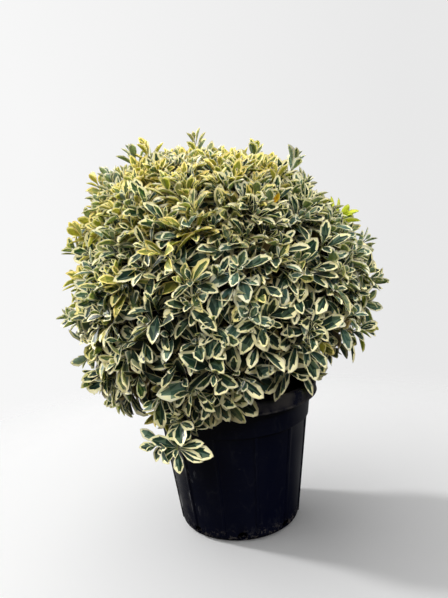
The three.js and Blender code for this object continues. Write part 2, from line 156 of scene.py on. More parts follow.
class Nodes:
    # short hand for one material's node tree
    def __init__(self, name):
        self.material = bpy.data.materials.new(name)
        self.material.use_nodes = True
        self.tree = self.material.node_tree
        self.shader = self.tree.nodes["Principled BSDF"]

    def add(self, kind, **values):
        node = self.tree.nodes.new(kind)
        for key, value in values.items():
            setattr(node, key, value)
        return node

    def give(self, values):
        for key, value in values.items():
            self.shader.inputs[key].default_value = value

    def link(self, fromSocket, toSocket):
        self.tree.links.new(fromSocket, toSocket)

    def group(self, group, vector, **values):
        node = self.add("ShaderNodeGroup", node_tree=group)
        for key, value in values.items():
            node.inputs[key].default_value = value
        self.link(vector, node.inputs["Vector"])
        return node

    def mapping(self, vector, scale=(1, 1, 1), turn=(0, 0, 0)):
        node = self.add("ShaderNodeMapping")
        node.inputs["Scale"].default_value = scale
        node.inputs["Rotation"].default_value = [math.radians(angle) for angle in turn]
        self.link(vector, node.inputs["Vector"])
        return node.outputs["Vector"]

    def mix(self, factor, one, other):
        node = self.add("ShaderNodeMix", data_type="RGBA")
        self.link(factor, node.inputs["Factor"])
        for value, socket in ((one, node.inputs["A"]), (other, node.inputs["B"])):
            if isinstance(value, tuple):
                socket.default_value = (*value, 1)
            else:
                self.link(value, socket)
        return node.outputs["Result"]

    def math(self, operation, one, other):
        node = self.add("ShaderNodeMath", operation=operation)
        for value, socket in ((one, node.inputs[0]), (other, node.inputs[1])):
            if isinstance(value, float):
                socket.default_value = value
            else:
                self.link(value, socket)
        return node.outputs["Value"]

    def rangeOf(self, value, fromLow, fromHigh, toLow, toHigh):
        return rampOf(self.tree, value, (fromLow, fromHigh), (toLow, toHigh))

    def bump(self, height, distance, strength):
        node = self.add("ShaderNodeBump")
        node.inputs["Distance"].default_value = distance
        node.inputs["Strength"].default_value = strength
        self.link(height, node.inputs["Height"])
        self.link(node.outputs["Normal"], self.shader.inputs["Normal"])


def objectPlace(nodes):
    return nodes.add("ShaderNodeTexCoord").outputs["Object"]


# camera, floor and light
view = {
    "place": (-0.004, -1.0, 0.533),
    "lookDown": 7.5,
    "roll": -4.0,
    "focalPixels": 568.0,
    "imageWidth": 448,
    "imageHeight": 598,
    "sensor": 36.0,
    "clipEnd": 100,
}


def cameraAxes():
    pitch = math.radians(view["lookDown"])
    roll = math.radians(view["roll"])
    ahead = Vector((0, math.cos(pitch), -math.sin(pitch)))
    level = Vector((1, 0, 0))
    over = level.cross(ahead)
    right = level * math.cos(roll) + over * math.sin(roll)
    top = over * math.cos(roll) - level * math.sin(roll)
    return right, top, ahead


def makeCamera():
    right, top, ahead = cameraAxes()
    data = bpy.data.cameras.new("camera")
    data.sensor_fit = "VERTICAL"
    data.sensor_height = view["sensor"]
    data.sensor_width = view["sensor"]
    data.lens = view["focalPixels"] * view["sensor"] / view["imageHeight"]
    data.clip_end = view["clipEnd"]
    camera = addObject("camera", data)
    turn = Matrix((right, top, -ahead)).transposed()
    camera.matrix_world = Matrix.Translation(view["place"]) @ turn.to_4x4()
    bpy.context.scene.camera = camera
    print("camera at", view["place"])


def pixelsOf(points):
    right, top, ahead = (np.array(axis) for axis in cameraAxes())
    offset = points - np.array(view["place"])
    depth = offset @ ahead
    across = view["imageWidth"] / 2 + view["focalPixels"] * (offset @ right) / depth
    down = view["imageHeight"] / 2 - view["focalPixels"] * (offset @ top) / depth
    return np.stack([across, down], axis=1)


studio = {
    # backdrop at the left and at the right, darker to the right as painted shade, and how far to the sides
    # it changes
    "background": (0.93, 0.81),
    "backgroundTurn": 0.30,
    "fill": 0.32,
    # what a gloss mirrors of the sky, level and straight up
    "gleam": (0.02, 1.70),
    "gleamRise": (0.60, 1.0),
    # floor colour at the left and at the right: painted shade that darkens the floor toward the right
    "floorLeft": (0.92, 0.92, 0.92),
    "floorRight": (0.80, 0.80, 0.80),
    "floorTurn": 0.45,
    # how far out the floor fades into the backdrop
    "floorFade": (0.62, 1.10),
    "floorBounce": (0.05, 0.05, 0.05),
    "floorRoughness": 0.9,
    "floorGlow": 0.055,
    # what a gloss mirrors of the floor at the left and at the right, from beside the pot to behind it
    "floorGleam": (0.28, 0.03),
    "gleamFrom": (-0.04, 0.12),
    "floorRadius": 40.0,
    "floorSides": 96,
    "lampDistance": 4,
    # azimuth and elevation that the light comes from, strength, and spread of the lamp in degrees
    "floorSun": (158, 36, 1.45, 7),
    "floorGlance": (158, 53, 1.66, 98),
    "leftSun": (162, 29, 3.7, 14),
    "softSun": (252, 47, 3.55, 40),
    "sideSun": (344, 33, 2.3, 16),
}


def addSun(name, azimuth, elevation, strength, spread):
    light = bpy.data.lights.new(name, "SUN")
    light.energy = strength
    light.angle = math.radians(spread)
    lamp = addObject(name, light)
    toward = Vector(direction(azimuth, elevation))
    lamp.location = toward * studio["lampDistance"]
    lamp.rotation_mode = "QUATERNION"
    lamp.rotation_quaternion = (-toward).to_track_quat("-Z", "Y")
    return lamp


def makeSky():
    world = bpy.data.worlds.new("studio")
    world.use_nodes = True
    tree = world.node_tree
    sky = tree.nodes["Background"]
    sky.inputs["Color"].default_value = (1, 1, 1, 1)
    seen = tree.nodes.new("ShaderNodeLightPath")
    toward = tree.nodes.new("ShaderNodeTexCoord")
    split = tree.nodes.new("ShaderNodeSeparateXYZ")
    tree.links.new(toward.outputs["Generated"], split.inputs["Vector"])
    turn = studio["backgroundTurn"]
    backdrop = rampOf(tree, split.outputs["X"], (-turn, turn), studio["background"])
    gleam = rampOf(tree, split.outputs["Z"], studio["gleamRise"], studio["gleam"])
    mirrored = rampOf(tree, seen.outputs["Is Glossy Ray"], (0, 1), (studio["fill"], 0))
    tree.links.new(gleam, mirrored.node.inputs["To Max"])
    strength = rampOf(tree, seen.outputs["Is Camera Ray"], (0, 1), (0, 1))
    tree.links.new(mirrored, strength.node.inputs["To Min"])
    tree.links.new(backdrop, strength.node.inputs["To Max"])
    tree.links.new(strength, sky.inputs["Strength"])
    bpy.context.scene.world = world
    bpy.context.scene.view_settings.view_transform = "Standard"


def makeFloorPaint():
    nodes = Nodes("floor_paint")
    nodes.give({
        "Roughness": studio["floorRoughness"],
        "Specular IOR Level": 0.0,
        "Emission Color": (1, 1, 1, 1),
    })
    seen = nodes.add("ShaderNodeLightPath").outputs
    place = objectPlace(nodes)
    split = nodes.add("ShaderNodeSeparateXYZ")
    nodes.link(place, split.inputs["Vector"])
    turn = studio["floorTurn"]
    # painted shade: the floor's colour darkens toward the right
    toRight = nodes.rangeOf(split.outputs["X"], -turn, turn, 0, 1)
    paleness = nodes.mix(toRight, studio["floorLeft"], studio["floorRight"])
    tint = nodes.mix(seen["Is Camera Ray"], studio["floorBounce"], paleness)
    nodes.link(tint, nodes.shader.inputs["Base Color"])
    away = nodes.add("ShaderNodeVectorMath", operation="LENGTH")
    nodes.link(place, away.inputs[0])
    fade = nodes.rangeOf(away.outputs["Value"], *studio["floorFade"], 1, 0)
    fade.node.interpolation_type = "SMOOTHSTEP"
    shown = nodes.rangeOf(seen["Is Camera Ray"], 0, 1, 1, 1)
    nodes.link(fade, shown.node.inputs["To Max"])
    nodes.link(shown, nodes.shader.inputs["Alpha"])
    sideGleam = nodes.rangeOf(split.outputs["X"], -turn, turn, *studio["floorGleam"])
    mirrored = nodes.rangeOf(split.outputs["Y"], *studio["gleamFrom"], 0, 0)
    nodes.link(sideGleam, mirrored.node.inputs["To Max"])
    gleam = nodes.math("MULTIPLY", mirrored, seen["Is Glossy Ray"])
    glow = nodes.rangeOf(seen["Is Camera Ray"], 0, 1, 0, studio["floorGlow"])
    nodes.link(gleam, glow.node.inputs["To Min"])
    nodes.link(glow, nodes.shader.inputs["Emission Strength"])
    return nodes.material


def makeStudio():
    makeSky()
    bpy.ops.object.select_all(action="DESELECT")
    bpy.ops.mesh.primitive_circle_add(
        vertices=studio["floorSides"], radius=studio["floorRadius"], fill_type="NGON")
    floor = bpy.context.object
    floor.name = "studio_floor"
    floor.data.materials.append(makeFloorPaint())
    # two lights are for the floor alone and the others leave it out, so that only the pot shades it
    lit = bpy.data.collections.new("in_floor_light")
    lit.objects.link(floor)
    unlit = bpy.data.collections.new("out_of_plant_light")
    unlit.objects.link(floor)
    unlit.collection_objects[0].light_linking.link_state = "EXCLUDE"
    shading = bpy.data.collections.new("shades_the_floor")
    for name in ("floorSun", "floorGlance"):
        lamp = addSun(name, *studio[name])
        lamp.light_linking.receiver_collection = lit
        lamp.light_linking.blocker_collection = shading
    for name in ("leftSun", "softSun", "sideSun"):
        lamp = addSun(name, *studio[name])
        lamp.light_linking.receiver_collection = unlit
        lamp.visible_glossy = name == "leftSun"  # the others leave no gleam on the pot
    print("studio: sky, floor and suns")
    return shading


def finishPiece(piece, name, slot, *nodeNames):
    piece.name = name
    piece.data.name = name
    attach(piece, "root")
    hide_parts(*nodeNames)


def activate(obj):
    bpy.ops.object.select_all(action="DESELECT")
    obj.select_set(True)
    bpy.context.view_layer.objects.active = obj


def applyModifiers(obj):
    activate(obj)
    for modifier in list(obj.modifiers):
        bpy.ops.object.modifier_apply(modifier=modifier.name)


def smoothByAngle(obj, angle):
    activate(obj)
    bpy.ops.object.shade_smooth_by_angle(angle=math.radians(angle))


# nursery pot
pot = {
    "height": 0.256,
    "lipRadius": 0.151,
    "lipHeight": 0.024,
    "bandTopRadius": 0.139,
    "bandFootRadius": 0.134,
    "bandFoot": 0.191,
    "wallTopRadius": 0.130,
    "wallFootRadius": 0.107,
    "footRounding": 0.012,
    "wall": 0.0024,
    "floor": 0.003,
    "segments": 144,
    "ribs": 12,
    "ribTurn": 14,
    "ribRise": 0.0018,
    "ribRounding": 0.0014,
    "drains": 8,
    "drainRadius": 0.009,
    "drainHeight": 0.011,
    "drainSides": 24,
    "lipRounding": 0.005,
    "bead": 0.0018,
    "innerRounding": 0.004,
    "underLip": 0.002,
    "stepOut": 0.0015,
    "stepRounding": 0.0025,
    "bandEase": 0.006,
    "wallSteps": 6,
    "edgeRounding": 0.0007,
    "edgeAngle": 40,
    "smoothAngle": 32,
}


def arc(centreRadius, centreHeight, radius, fromAngle, toAngle, steps):
    points = []
    for i in range(steps + 1):
        angle = math.radians(fromAngle + (toAngle - fromAngle) * i / steps)
        points.append((centreRadius + radius * math.cos(angle), centreHeight + radius * math.sin(angle)))
    return points


def potProfile():
    lipFoot = pot["height"] - pot["lipHeight"]
    # the lip is a flat band, rounded at the top and rolled out at its foot
    lipRound = pot["lipRounding"]
    innerRound = pot["innerRounding"]
    bead = pot["bead"]
    step = pot["stepRounding"]
    wallSteps = pot["wallSteps"]
    wallFoot = (pot["wallFootRadius"], pot["footRounding"])
    wallTop = (pot["wallTopRadius"], pot["bandFoot"])
    profile = arc(wallFoot[0] - pot["footRounding"], wallFoot[1], pot["footRounding"], -90, 0, 6)
    for i in range(1, wallSteps + 1):
        share = i / wallSteps
        profile.append(tuple(a + (b - a) * share for a, b in zip(wallFoot, wallTop)))
    profile += arc(pot["wallTopRadius"] + pot["stepOut"], pot["bandFoot"] + step, step, -60, 0, 3)
    profile.append((pot["bandTopRadius"], lipFoot))
    profile += arc(pot["lipRadius"] - bead, lipFoot + bead, bead, -90, 70, 6)
    profile += arc(pot["lipRadius"] - bead / 2 - lipRound, pot["height"] - lipRound, lipRound, 0, 90, 5)
    inner = pot["bandTopRadius"] - pot["wall"]
    profile += arc(inner + innerRound, pot["height"] - innerRound, innerRound, 90, 180, 3)
    profile.append((inner, lipFoot - pot["underLip"]))
    profile.append((pot["bandFootRadius"] - pot["wall"], pot["bandFoot"] + pot["bandEase"]))
    profile.append((pot["wallTopRadius"] - pot["wall"], pot["bandFoot"]))
    profile.append((pot["wallFootRadius"] - pot["wall"], pot["footRounding"]))
    profile.append((pot["wallFootRadius"] - pot["wall"] - pot["footRounding"] / 2, pot["floor"]))
    return profile


def lathe(profile, sides, turn):
    # a closed body, drawn out ring by ring from its foot
    bpy.ops.object.select_all(action="DESELECT")
    bpy.ops.mesh.primitive_circle_add(
        vertices=sides, radius=profile[0][0], fill_type="NGON",
        location=(0, 0, profile[0][1]), rotation=(0, 0, math.radians(turn)))
    body = bpy.context.object
    bpy.ops.object.transform_apply()
    bpy.ops.object.mode_set(mode="EDIT")
    bpy.ops.mesh.select_all(action="SELECT")
    for (radius, height), (nextRadius, nextHeight) in zip(profile, profile[1:]):
        bpy.ops.mesh.extrude_region_move(TRANSFORM_OT_translate={"value": (0, 0, nextHeight - height)})
        bpy.ops.transform.resize(value=(nextRadius / radius, nextRadius / radius, 1))
    bpy.ops.mesh.select_all(action="SELECT")
    bpy.ops.mesh.normals_make_consistent(inside=False)
    bpy.ops.object.mode_set(mode="OBJECT")
    return body


def makePotMesh():
    facet = 360 / pot["segments"]
    firstTurn = (pot["ribTurn"] - facet / 2) % facet  # a facet's middle falls on each rib
    body = lathe(potProfile(), pot["segments"], firstTurn)
    raiseRibs(body, facet)
    cutDrains(body)
    soften = body.modifiers.new("edges", "BEVEL")
    soften.width = pot["edgeRounding"]
    soften.segments = 2
    soften.limit_method = "ANGLE"
    soften.angle_limit = math.radians(pot["edgeAngle"])
    applyModifiers(body)
    smoothByAngle(body, pot["smoothAngle"])
    return body


def raiseRibs(body, facet):
    ribStep = 360 / pot["ribs"]
    for face in body.data.polygons:
        middle = face.center
        angle = math.degrees(math.atan2(middle.y, middle.x)) - pot["ribTurn"]
        away = abs((angle + ribStep / 2) % ribStep - ribStep / 2)
        onWall = pot["footRounding"] < middle.z < pot["bandFoot"]
        outward = face.normal.x * middle.x + face.normal.y * middle.y > 0
        face.select = away < facet / 4 and onWall and outward
    for edge in body.data.edges:
        edge.select = False
    for vertex in body.data.vertices:
        vertex.select = False
    for face in body.data.polygons:
        if face.select:
            for index in face.vertices:
                body.data.vertices[index].select = True
    activate(body)
    bpy.ops.object.mode_set(mode="EDIT")
    bpy.context.tool_settings.mesh_select_mode = (False, False, True)
    bpy.ops.mesh.extrude_region_shrink_fatten(TRANSFORM_OT_shrink_fatten={"value": pot["ribRise"]})
    bpy.ops.mesh.region_to_loop()
    bpy.ops.mesh.bevel(offset=pot["ribRounding"], segments=3, affect="EDGES")
    bpy.ops.object.mode_set(mode="OBJECT")


def cutDrains(body):
    drills = []
    for i in range(pot["drains"]):
        turn = 2 * math.pi * i / pot["drains"]
        reach = pot["wallFootRadius"] - pot["footRounding"] / 2
        bpy.ops.mesh.primitive_cylinder_add(
            vertices=pot["drainSides"], radius=pot["drainRadius"], depth=2 * pot["footRounding"],
            location=(reach * math.cos(turn), reach * math.sin(turn), pot["drainHeight"]),
            rotation=(0, math.pi / 2, turn))
        drills.append(bpy.context.object)
    for drill in drills:
        drill.select_set(True)
    bpy.ops.object.join()
    drill = bpy.context.object
    cut = body.modifiers.new("drains", "BOOLEAN")
    cut.operation = "DIFFERENCE"
    cut.solver = "EXACT"
    cut.object = drill
    applyModifiers(body)
    bpy.data.objects.remove(drill)


potPlastic = {
    "black": (0.0008, 0.0013, 0.0060),
    # colour of the lip's grey film, also used for the painted highlight and the painted reflection
    "dustAndSheen": (0.085, 0.075, 0.062),
    "dirt": (0.15, 0.13, 0.11),
    "scuff": (0.42, 0.42, 0.42),
    "speck": (0.24, 0.23, 0.21),
    "speckShare": 0.20,
    "roughness": 0.24,
    "dustDulls": 0.7,
    "highlightLineHeight": 0.2345,
    # where each kind of wear, the painted highlight and the painted reflection start and end, and the
    # strength of each at either place
    "lip": (0.230, 0.238, 0.0, 0.32),
    # edge: a pale line along the lip's lower rim in the dustAndSheen colour, a painted highlight
    "edge": (0.0006, 0.0018, 0.40, 0.0),
    "foot": (0.002, 0.026, 0.40, 0.0),
    "scuffed": (-0.092, -0.070, 0.45, 0.012),
    # side: grey film on the left front of the wall, partly real grime and partly a painted reflection of
    # the bright floor
    "side": (-0.104, -0.080, 0.42, 0.010),
    "front": (-0.030, 0.040, 1.0, 0.15),
}


def makePotPlastic():
    nodes = Nodes("black_plastic")
    place = objectPlace(nodes)
    split = nodes.add("ShaderNodeSeparateXYZ")
    nodes.link(place, split.inputs["Vector"])
    film = nodes.group(mottle, place, Scale=26.0, Low=0.36, High=0.66)
    grit = nodes.group(mottle, place, Scale=150.0, Low=0.50, High=0.64)
    specks = nodes.group(mottle, place, Scale=240.0, Low=0.69, High=0.75)
    slanted = nodes.mapping(place, scale=(1, 1, 0.3), turn=(-34, 0, 0))
    scuffs = nodes.group(scratches, slanted, Scale=46.0, Width=0.026)
    rubbed = nodes.group(mottle, place, Scale=24.0, Low=0.44, High=0.60)
    x, y, z = split.outputs
    lip = nodes.rangeOf(z, *potPlastic["lip"])
    fromHighlightLine = nodes.math("ABSOLUTE", nodes.math("SUBTRACT", z, potPlastic["highlightLineHeight"]), 0.0)
    # painted highlight: a thin pale line around the lip's lower rim
    edge = nodes.rangeOf(fromHighlightLine, *potPlastic["edge"])
    foot = nodes.rangeOf(z, *potPlastic["foot"])
    front = nodes.rangeOf(y, *potPlastic["front"])
    # left front of the wall: grey film and painted reflection
    sideDustAndSheen = nodes.math("MULTIPLY", nodes.rangeOf(x, *potPlastic["side"]), front)
    scuffed = nodes.math("MULTIPLY", nodes.rangeOf(x, *potPlastic["scuffed"]), front)
    # a real grey film on the lip, and the painted highlight line and painted reflection on the left, all
    # in one colour
    dustAndSheenMask = nodes.math("ADD", nodes.math("ADD", lip, edge), sideDustAndSheen)
    dustAndSheen = nodes.math("MULTIPLY", film.outputs["Mask"], dustAndSheenMask)
    dirt = nodes.math("MULTIPLY", grit.outputs["Mask"], foot)
    lines = nodes.math("MULTIPLY", scuffs.outputs["Mask"], rubbed.outputs["Mask"])
    scuff = nodes.math("MULTIPLY", lines, scuffed)
    speck = nodes.math("MULTIPLY", specks.outputs["Mask"], potPlastic["speckShare"])
    colour = nodes.mix(dustAndSheen, potPlastic["black"], potPlastic["dustAndSheen"])
    colour = nodes.mix(dirt, colour, potPlastic["dirt"])
    colour = nodes.mix(scuff, colour, potPlastic["scuff"])
    colour = nodes.mix(speck, colour, potPlastic["speck"])
    nodes.link(colour, nodes.shader.inputs["Base Color"])
    dulled = nodes.math("MULTIPLY", dustAndSheen, potPlastic["dustDulls"])
    dull = nodes.math("ADD", dulled, nodes.math("ADD", dirt, scuff))
    nodes.link(nodes.math("ADD", dull, potPlastic["roughness"]), nodes.shader.inputs["Roughness"])
    nodes.give({"Specular IOR Level": 0.5})
    grain = nodes.group(mottle, place, Scale=900.0, Low=0.3, High=0.7)
    nodes.bump(grain.outputs["Height"], distance=0.0004, strength=0.12)
    return nodes.material


def makePot(shading):
    body = makePotMesh()
    shading.objects.link(body)
    body.data.materials.clear()
    body.data.materials.append(makePotPlastic())
    finishPiece(body, "nursery_pot", "pot", "pot")
    print("pot:", len(body.data.polygons), "faces")


# potting soil
soil = {
    "top": 0.226,
    "gap": 0.0006,
    "rings": 26,
    "relief": 0.004,
    "flatRadius": 0.030,
    "drainTop": 0.034,
    "drainSpace": 0.022,
    "crumbs": 420,
    "seed": 5,
    "sides": 96,
    "belowBand": 0.001,
    "aboveBand": 0.008,
    "edgeDrop": 0.003,
    "surface": 0.001,
    # how the surface gets looser away from the stem, and its lumps
    "looseOver": 0.02,
    "sink": 0.002,
    "lumpScale": 42,
    "lumpLayer": 0.3,
    "lumpNoise": (0.9, 2.1, 4),
    "crumbLength": (0.0012, 0.0042),
    "crumbWidth": (0.5, 1),
    "crumbHeight": (0.35, 0.7),
    "crumbGap": 0.008,
    "crumbSpread": (0.07, 1),
    "crumbLump": (0.75, 1.2),
    "crumbSeat": 0.4,
    "smoothAngle": 50,
    "dark": (0.012, 0.008, 0.005),
    "light": (0.055, 0.036, 0.022),
    "fibre": (0.13, 0.085, 0.05),
    "fibreShare": 0.5,
}


def wallInside(height):
    if height > pot["bandFoot"] + pot["bandEase"]:
        share = (height - pot["bandFoot"]) / (pot["height"] - pot["lipHeight"] - pot["bandFoot"])
        return pot["bandFootRadius"] + (pot["bandTopRadius"] - pot["bandFootRadius"]) * share - pot["wall"]
    share = (height - pot["footRounding"]) / (pot["bandFoot"] - pot["footRounding"])
    return pot["wallFootRadius"] + (pot["wallTopRadius"] - pot["wallFootRadius"]) * share - pot["wall"]


def soilHeight(x, y):
    radius = math.hypot(x, y)
    loose = min(1.0, max(0.0, (radius - soil["flatRadius"]) / soil["looseOver"]))
    lumps = noise.fractal(Vector((x, y, soil["lumpLayer"])) * soil["lumpScale"], *soil["lumpNoise"])
    return soil["top"] - soil["sink"] * loose + soil["relief"] * 0.5 * loose * lumps


def makeSoilMesh():
    foot = pot["floor"] + soil["gap"]
    footRadius = wallInside(pot["footRounding"]) - soil["drainSpace"]
    profile = [(footRadius, foot)]
    underBand = pot["bandFoot"] - soil["belowBand"]
    overBand = pot["bandFoot"] + soil["aboveBand"]
    for height in (soil["drainTop"], underBand, overBand, soil["top"] - soil["edgeDrop"]):
        profile.append((wallInside(height) - soil["gap"], height))
    outer = profile[-1][0]
    for i in range(1, soil["rings"]):
        profile.append((outer * (1 - i / soil["rings"]), soil["top"]))
    fill = lathe(profile, soil["sides"], 0)
    for vertex in fill.data.vertices:
        if vertex.co.z > soil["top"] - soil["surface"]:
            vertex.co.z = soilHeight(vertex.co.x, vertex.co.y)
    smoothByAngle(fill, soil["smoothAngle"])
    return fill


def makeCrumbs():
    random = np.random.default_rng(soil["seed"])
    # a lump of six corners and eight faces
    shape = np.array([(1, 0, 0), (-1, 0, 0), (0, 1, 0), (0, -1, 0), (0, 0, 1), (0, 0, -1)], float)
    faces = np.array([
        (0, 2, 4), (2, 1, 4), (1, 3, 4), (3, 0, 4), (2, 0, 5), (1, 2, 5), (3, 1, 5), (0, 3, 5)])
    widest = wallInside(soil["top"]) - soil["crumbGap"]
    places = []
    corners = []
    for i in range(soil["crumbs"]):
        radius = widest * math.sqrt(random.uniform(*soil["crumbSpread"]))
        angle = random.uniform(0, 2 * math.pi)
        x, y = radius * math.cos(angle), radius * math.sin(angle)
        length = random.uniform(*soil["crumbLength"])
        size = length * np.array([
            1.0, random.uniform(*soil["crumbWidth"]), random.uniform(*soil["crumbHeight"])])
        spin = random.uniform(0, 2 * math.pi)
        c, s = math.cos(spin), math.sin(spin)
        turn = np.array([[c, -s, 0], [s, c, 0], [0, 0, 1]])
        lump = shape * random.uniform(*soil["crumbLump"], (len(shape), 1)) * size
        places.append(lump @ turn.T + (x, y, soilHeight(x, y) + size[2] * soil["crumbSeat"]))
        corners.append(faces + len(shape) * i)
    mesh = bpy.data.meshes.new("soil_crumbs")
    mesh.from_pydata(np.concatenate(places), [], np.concatenate(corners).tolist())
    return addObject("soil_crumbs", mesh)


def makeSoilMaterial():
    nodes = Nodes("damp_soil")
    place = objectPlace(nodes)
    clods = nodes.group(mottle, place, Scale=60.0, Low=0.35, High=0.7)
    fibres = nodes.group(mottle, nodes.mapping(place, scale=(1, 3, 1)), Scale=260.0, Low=0.55, High=0.7)
    colour = nodes.mix(clods.outputs["Mask"], soil["dark"], soil["light"])
    fibre = nodes.math("MULTIPLY", fibres.outputs["Mask"], soil["fibreShare"])
    colour = nodes.mix(fibre, colour, soil["fibre"])
    nodes.link(colour, nodes.shader.inputs["Base Color"])
    nodes.give({"Roughness": 0.95})
    nodes.bump(fibres.outputs["Height"], distance=0.002, strength=0.7)
    return nodes.material


def makeSoil():
    earth = makeSoilMaterial()
    fill = makeSoilMesh()
    fill.data.materials.append(earth)
    finishPiece(fill, "potting_soil", "soil", "soil")
    crumbs = makeCrumbs()
    crumbs.data.materials.append(earth)
    finishPiece(crumbs, "soil_crumbs", "soil", "soil")
    print("soil:", len(fill.data.polygons) + len(crumbs.data.polygons), "faces")


# crown, by the rule of the part's source
crown = {
    "centre": np.array([-0.008, 0.0, 0.437]),
    "radius": 0.269,
    "topRadius": 0.260,
    "topFullness": 2.0,
    "fullness": 2.6,
    "sideNames": ["right_back", "back", "left_back", "left_front", "front", "right_front"],
    "sideElevation": -8,
    "sideTurn": 30,
    "sideOffset": 0.026,
    "shoots": 98,
    "lowestShoot": -50,
    "shootRecess": 0.050,
    "shootRise": 0.3,
    "skirtRise": 0.7,
    "skirtFrom": (0.2, 0.7),
    "shootJitter": 0.25,
    "seed": 11,
    "stray": 0.006,
    "lipGap": 0.002,
}
# azimuth, elevation, swell and width of each place where the ball bulges or dips
lobes = [
    (195, -34, 0.030, 34),
    (170, 42, 0.016, 26),
    (0, 45, -0.018, 30),
    (-10, -8, 0.012, 30),
    (90, 20, 0.010, 35),
    (60, -25, 0.010, 30),
    (130, 55, -0.008, 25),
]


def crownReach(toward):
    above = toward[:, 2] > 0
    fullness = np.where(above, crown["topFullness"], crown["fullness"])
    level = (np.hypot(toward[:, 0], toward[:, 1]) / crown["radius"]) ** fullness
    height = (np.abs(toward[:, 2]) / np.where(above, crown["topRadius"], crown["radius"])) ** fullness
    return (level + height) ** (-1 / fullness) + swellAt(toward, lobes)


def swellAt(toward, swells):
    total = 0
    for azimuth, elevation, swell, width in swells:
        cosine = np.clip(toward @ direction(azimuth, elevation), -1, 1)
        total = total + swell * np.exp(-((np.arccos(cosine) / math.radians(width)) ** 2))
    return total


massNames = ["top"] + crown["sideNames"]
massToward = np.array([up] + [
    direction(crown["sideTurn"] + 360 * i / len(crown["sideNames"]), crown["sideElevation"])
    for i in range(len(crown["sideNames"]))])


def massOf(points):
    offset = points - crown["centre"]
    depths = []
    for i, own in enumerate(massToward):
        depth = np.full(len(points), np.inf)
        for j, other in enumerate(massToward):
            if i != j:
                # 0 for the top and for opposite sides
                turning = np.sign(round(np.cross(own, other)[2] * 10))
                depth = np.minimum(depth, offset @ unit(own - other) - crown["sideOffset"] * turning)
        depths.append(depth)
    return np.argmax(depths, axis=0)


def risingAxis(toward, rise, skirtRise):
    skirt = smoothstep(-toward[:, 2], *crown["skirtFrom"])
    return unit(toward + up * (rise + (skirtRise - rise) * skirt)[:, None])


def goldenSpread(count, lowest, turnOf):
    places = []
    for i in range(count):
        height = 1 - ((i + 0.5) / count) * (1 - math.sin(math.radians(lowest)))
        turn = i * goldenAngle + turnOf(i)
        level = math.sqrt(1 - height * height)
        places.append((level * math.cos(turn), level * math.sin(turn), height))
    return np.array(places)


def clearOfPot(points):
    radius = np.hypot(points[:, 0], points[:, 1])
    gap = crown["lipGap"]
    return (points[:, 2] > pot["height"] + gap) | (radius > pot["lipRadius"] + gap)


# stem and boughs
limb = {
    "stemFootRadius": 0.015,
    "stemFlare": 0.009,
    "flareHeight": 0.016,
    "stemTipRadius": 0.0065,
    "stemLean": 0.009,
    "stemTip": 0.540,
    "boughFoot": 0.290,
    "boughStep": 0.024,
    "boughFootRadius": 0.008,
    "boughTipRadius": 0.005,
    "boughReach": 0.104,
    "boughSag": 0.010,
    "massStem": 0.0372,
    "stemGap": 0.0003,
    "stemShares": (0, 0.08, 0.35, 0.7, 1),
    "straightFoot": 0.1,
    "sides": 18,
    "weld": 0.00005,
    "barkRelief": 0.0011,
    "ridgeScale": 0.006,
    "smoothAngle": 60,
    "furrow": (0.045, 0.033, 0.02),
    "bark": (0.20, 0.155, 0.095),
    "lichen": (0.17, 0.17, 0.12),
    "lichenShare": 0.5,
}
spray = {
    "azimuth": 240,
    "boughFoot": 0.247,
    "boughRadius": 0.0055,
    "tipRadius": 0.0039,
    "lipGap": 0.003,
    # the bough's way out: place and rise over the soil, then from the lip's edge
    "overSoil": (0.070, -0.003),
    "atLip": [(-0.008, 0.002), (0.006, 0.0)],
    "elbow": 0.010,
    # place of the star, where it faces and its size
    "starPlace": (-0.090, -0.192, 0.206),
    "starFacing": (268, 24),
    "starSize": 1.02,
    # turn, spread from the shoot and size of each leaf of the star, seen from the front
    "starLeaves": [
        (18, 80, 0.95), (-4, 84, 1.12), (-26, 76, 0.92), (-86, 80, 0.80), (152, 80, 0.90), (184, 84, 0.72),
        (218, 76, 0.62), (74, 56, 0.66), (108, 50, 0.60), (250, 34, 0.46), (40, 30, 0.40),
    ],
    # place of each other rosette, azimuth and elevation that it faces, size and first turn of its leaves
    "rosettes": [
        ((-0.086, -0.180, 0.246), (255, 42), 0.86, 60),
        ((-0.122, -0.176, 0.208), (228, 8), 0.82, 40),
        ((-0.066, -0.176, 0.232), (290, 30), 0.76, 0),
    ],
}


def smoothPath(points, steps):
    points = np.array(points, float)
    padded = np.vstack([2 * points[0] - points[1], points, 2 * points[-1] - points[-2]])
    path = []
    for a, b, c, d in zip(padded, padded[1:], padded[2:], padded[3:]):
        for t in np.arange(steps) / steps:
            path.append(0.5 * (2 * b + (c - a) * t + (2 * a - 5 * b + 4 * c - d) * t**2
                               + (3 * b - a - 3 * c + d) * t**3))
    path.append(points[-1])
    return np.array(path)


def stemPath():
    foot = soil["top"] + limb["stemGap"]
    points = []
    for share in limb["stemShares"]:
        bow = share if share > limb["straightFoot"] else 0
        points.append((
            crown["centre"][0] * bow + limb["stemLean"] * math.sin(bow * math.pi),
            limb["stemLean"] * 0.5 * math.sin(bow * 2 * math.pi),
            foot + (limb["stemTip"] - foot) * share))
    return smoothPath(points, steps=14)


def pointAtHeight(path, height):
    return path[np.argmax(path[:, 2] >= height)]


def boughPath(stem, toward, height):
    foot = pointAtHeight(stem, height)
    tip = crown["centre"] + toward * limb["boughReach"]
    middle = (foot + tip) / 2 - up * limb["boughSag"]
    return smoothPath([foot, middle, tip], steps=16)


def sprayPath(stem):
    out = direction(spray["azimuth"], 0)
    overLip = pot["height"] + spray["boughRadius"] + spray["lipGap"]
    route = [spray["overSoil"]] + [(pot["lipRadius"] + past, rise) for past, rise in spray["atLip"]]
    points = [pointAtHeight(stem, spray["boughFoot"])]
    for reach, rise in route:
        points.append(out * reach + up * (overLip + rise))
    return smoothPath(points, steps=12)


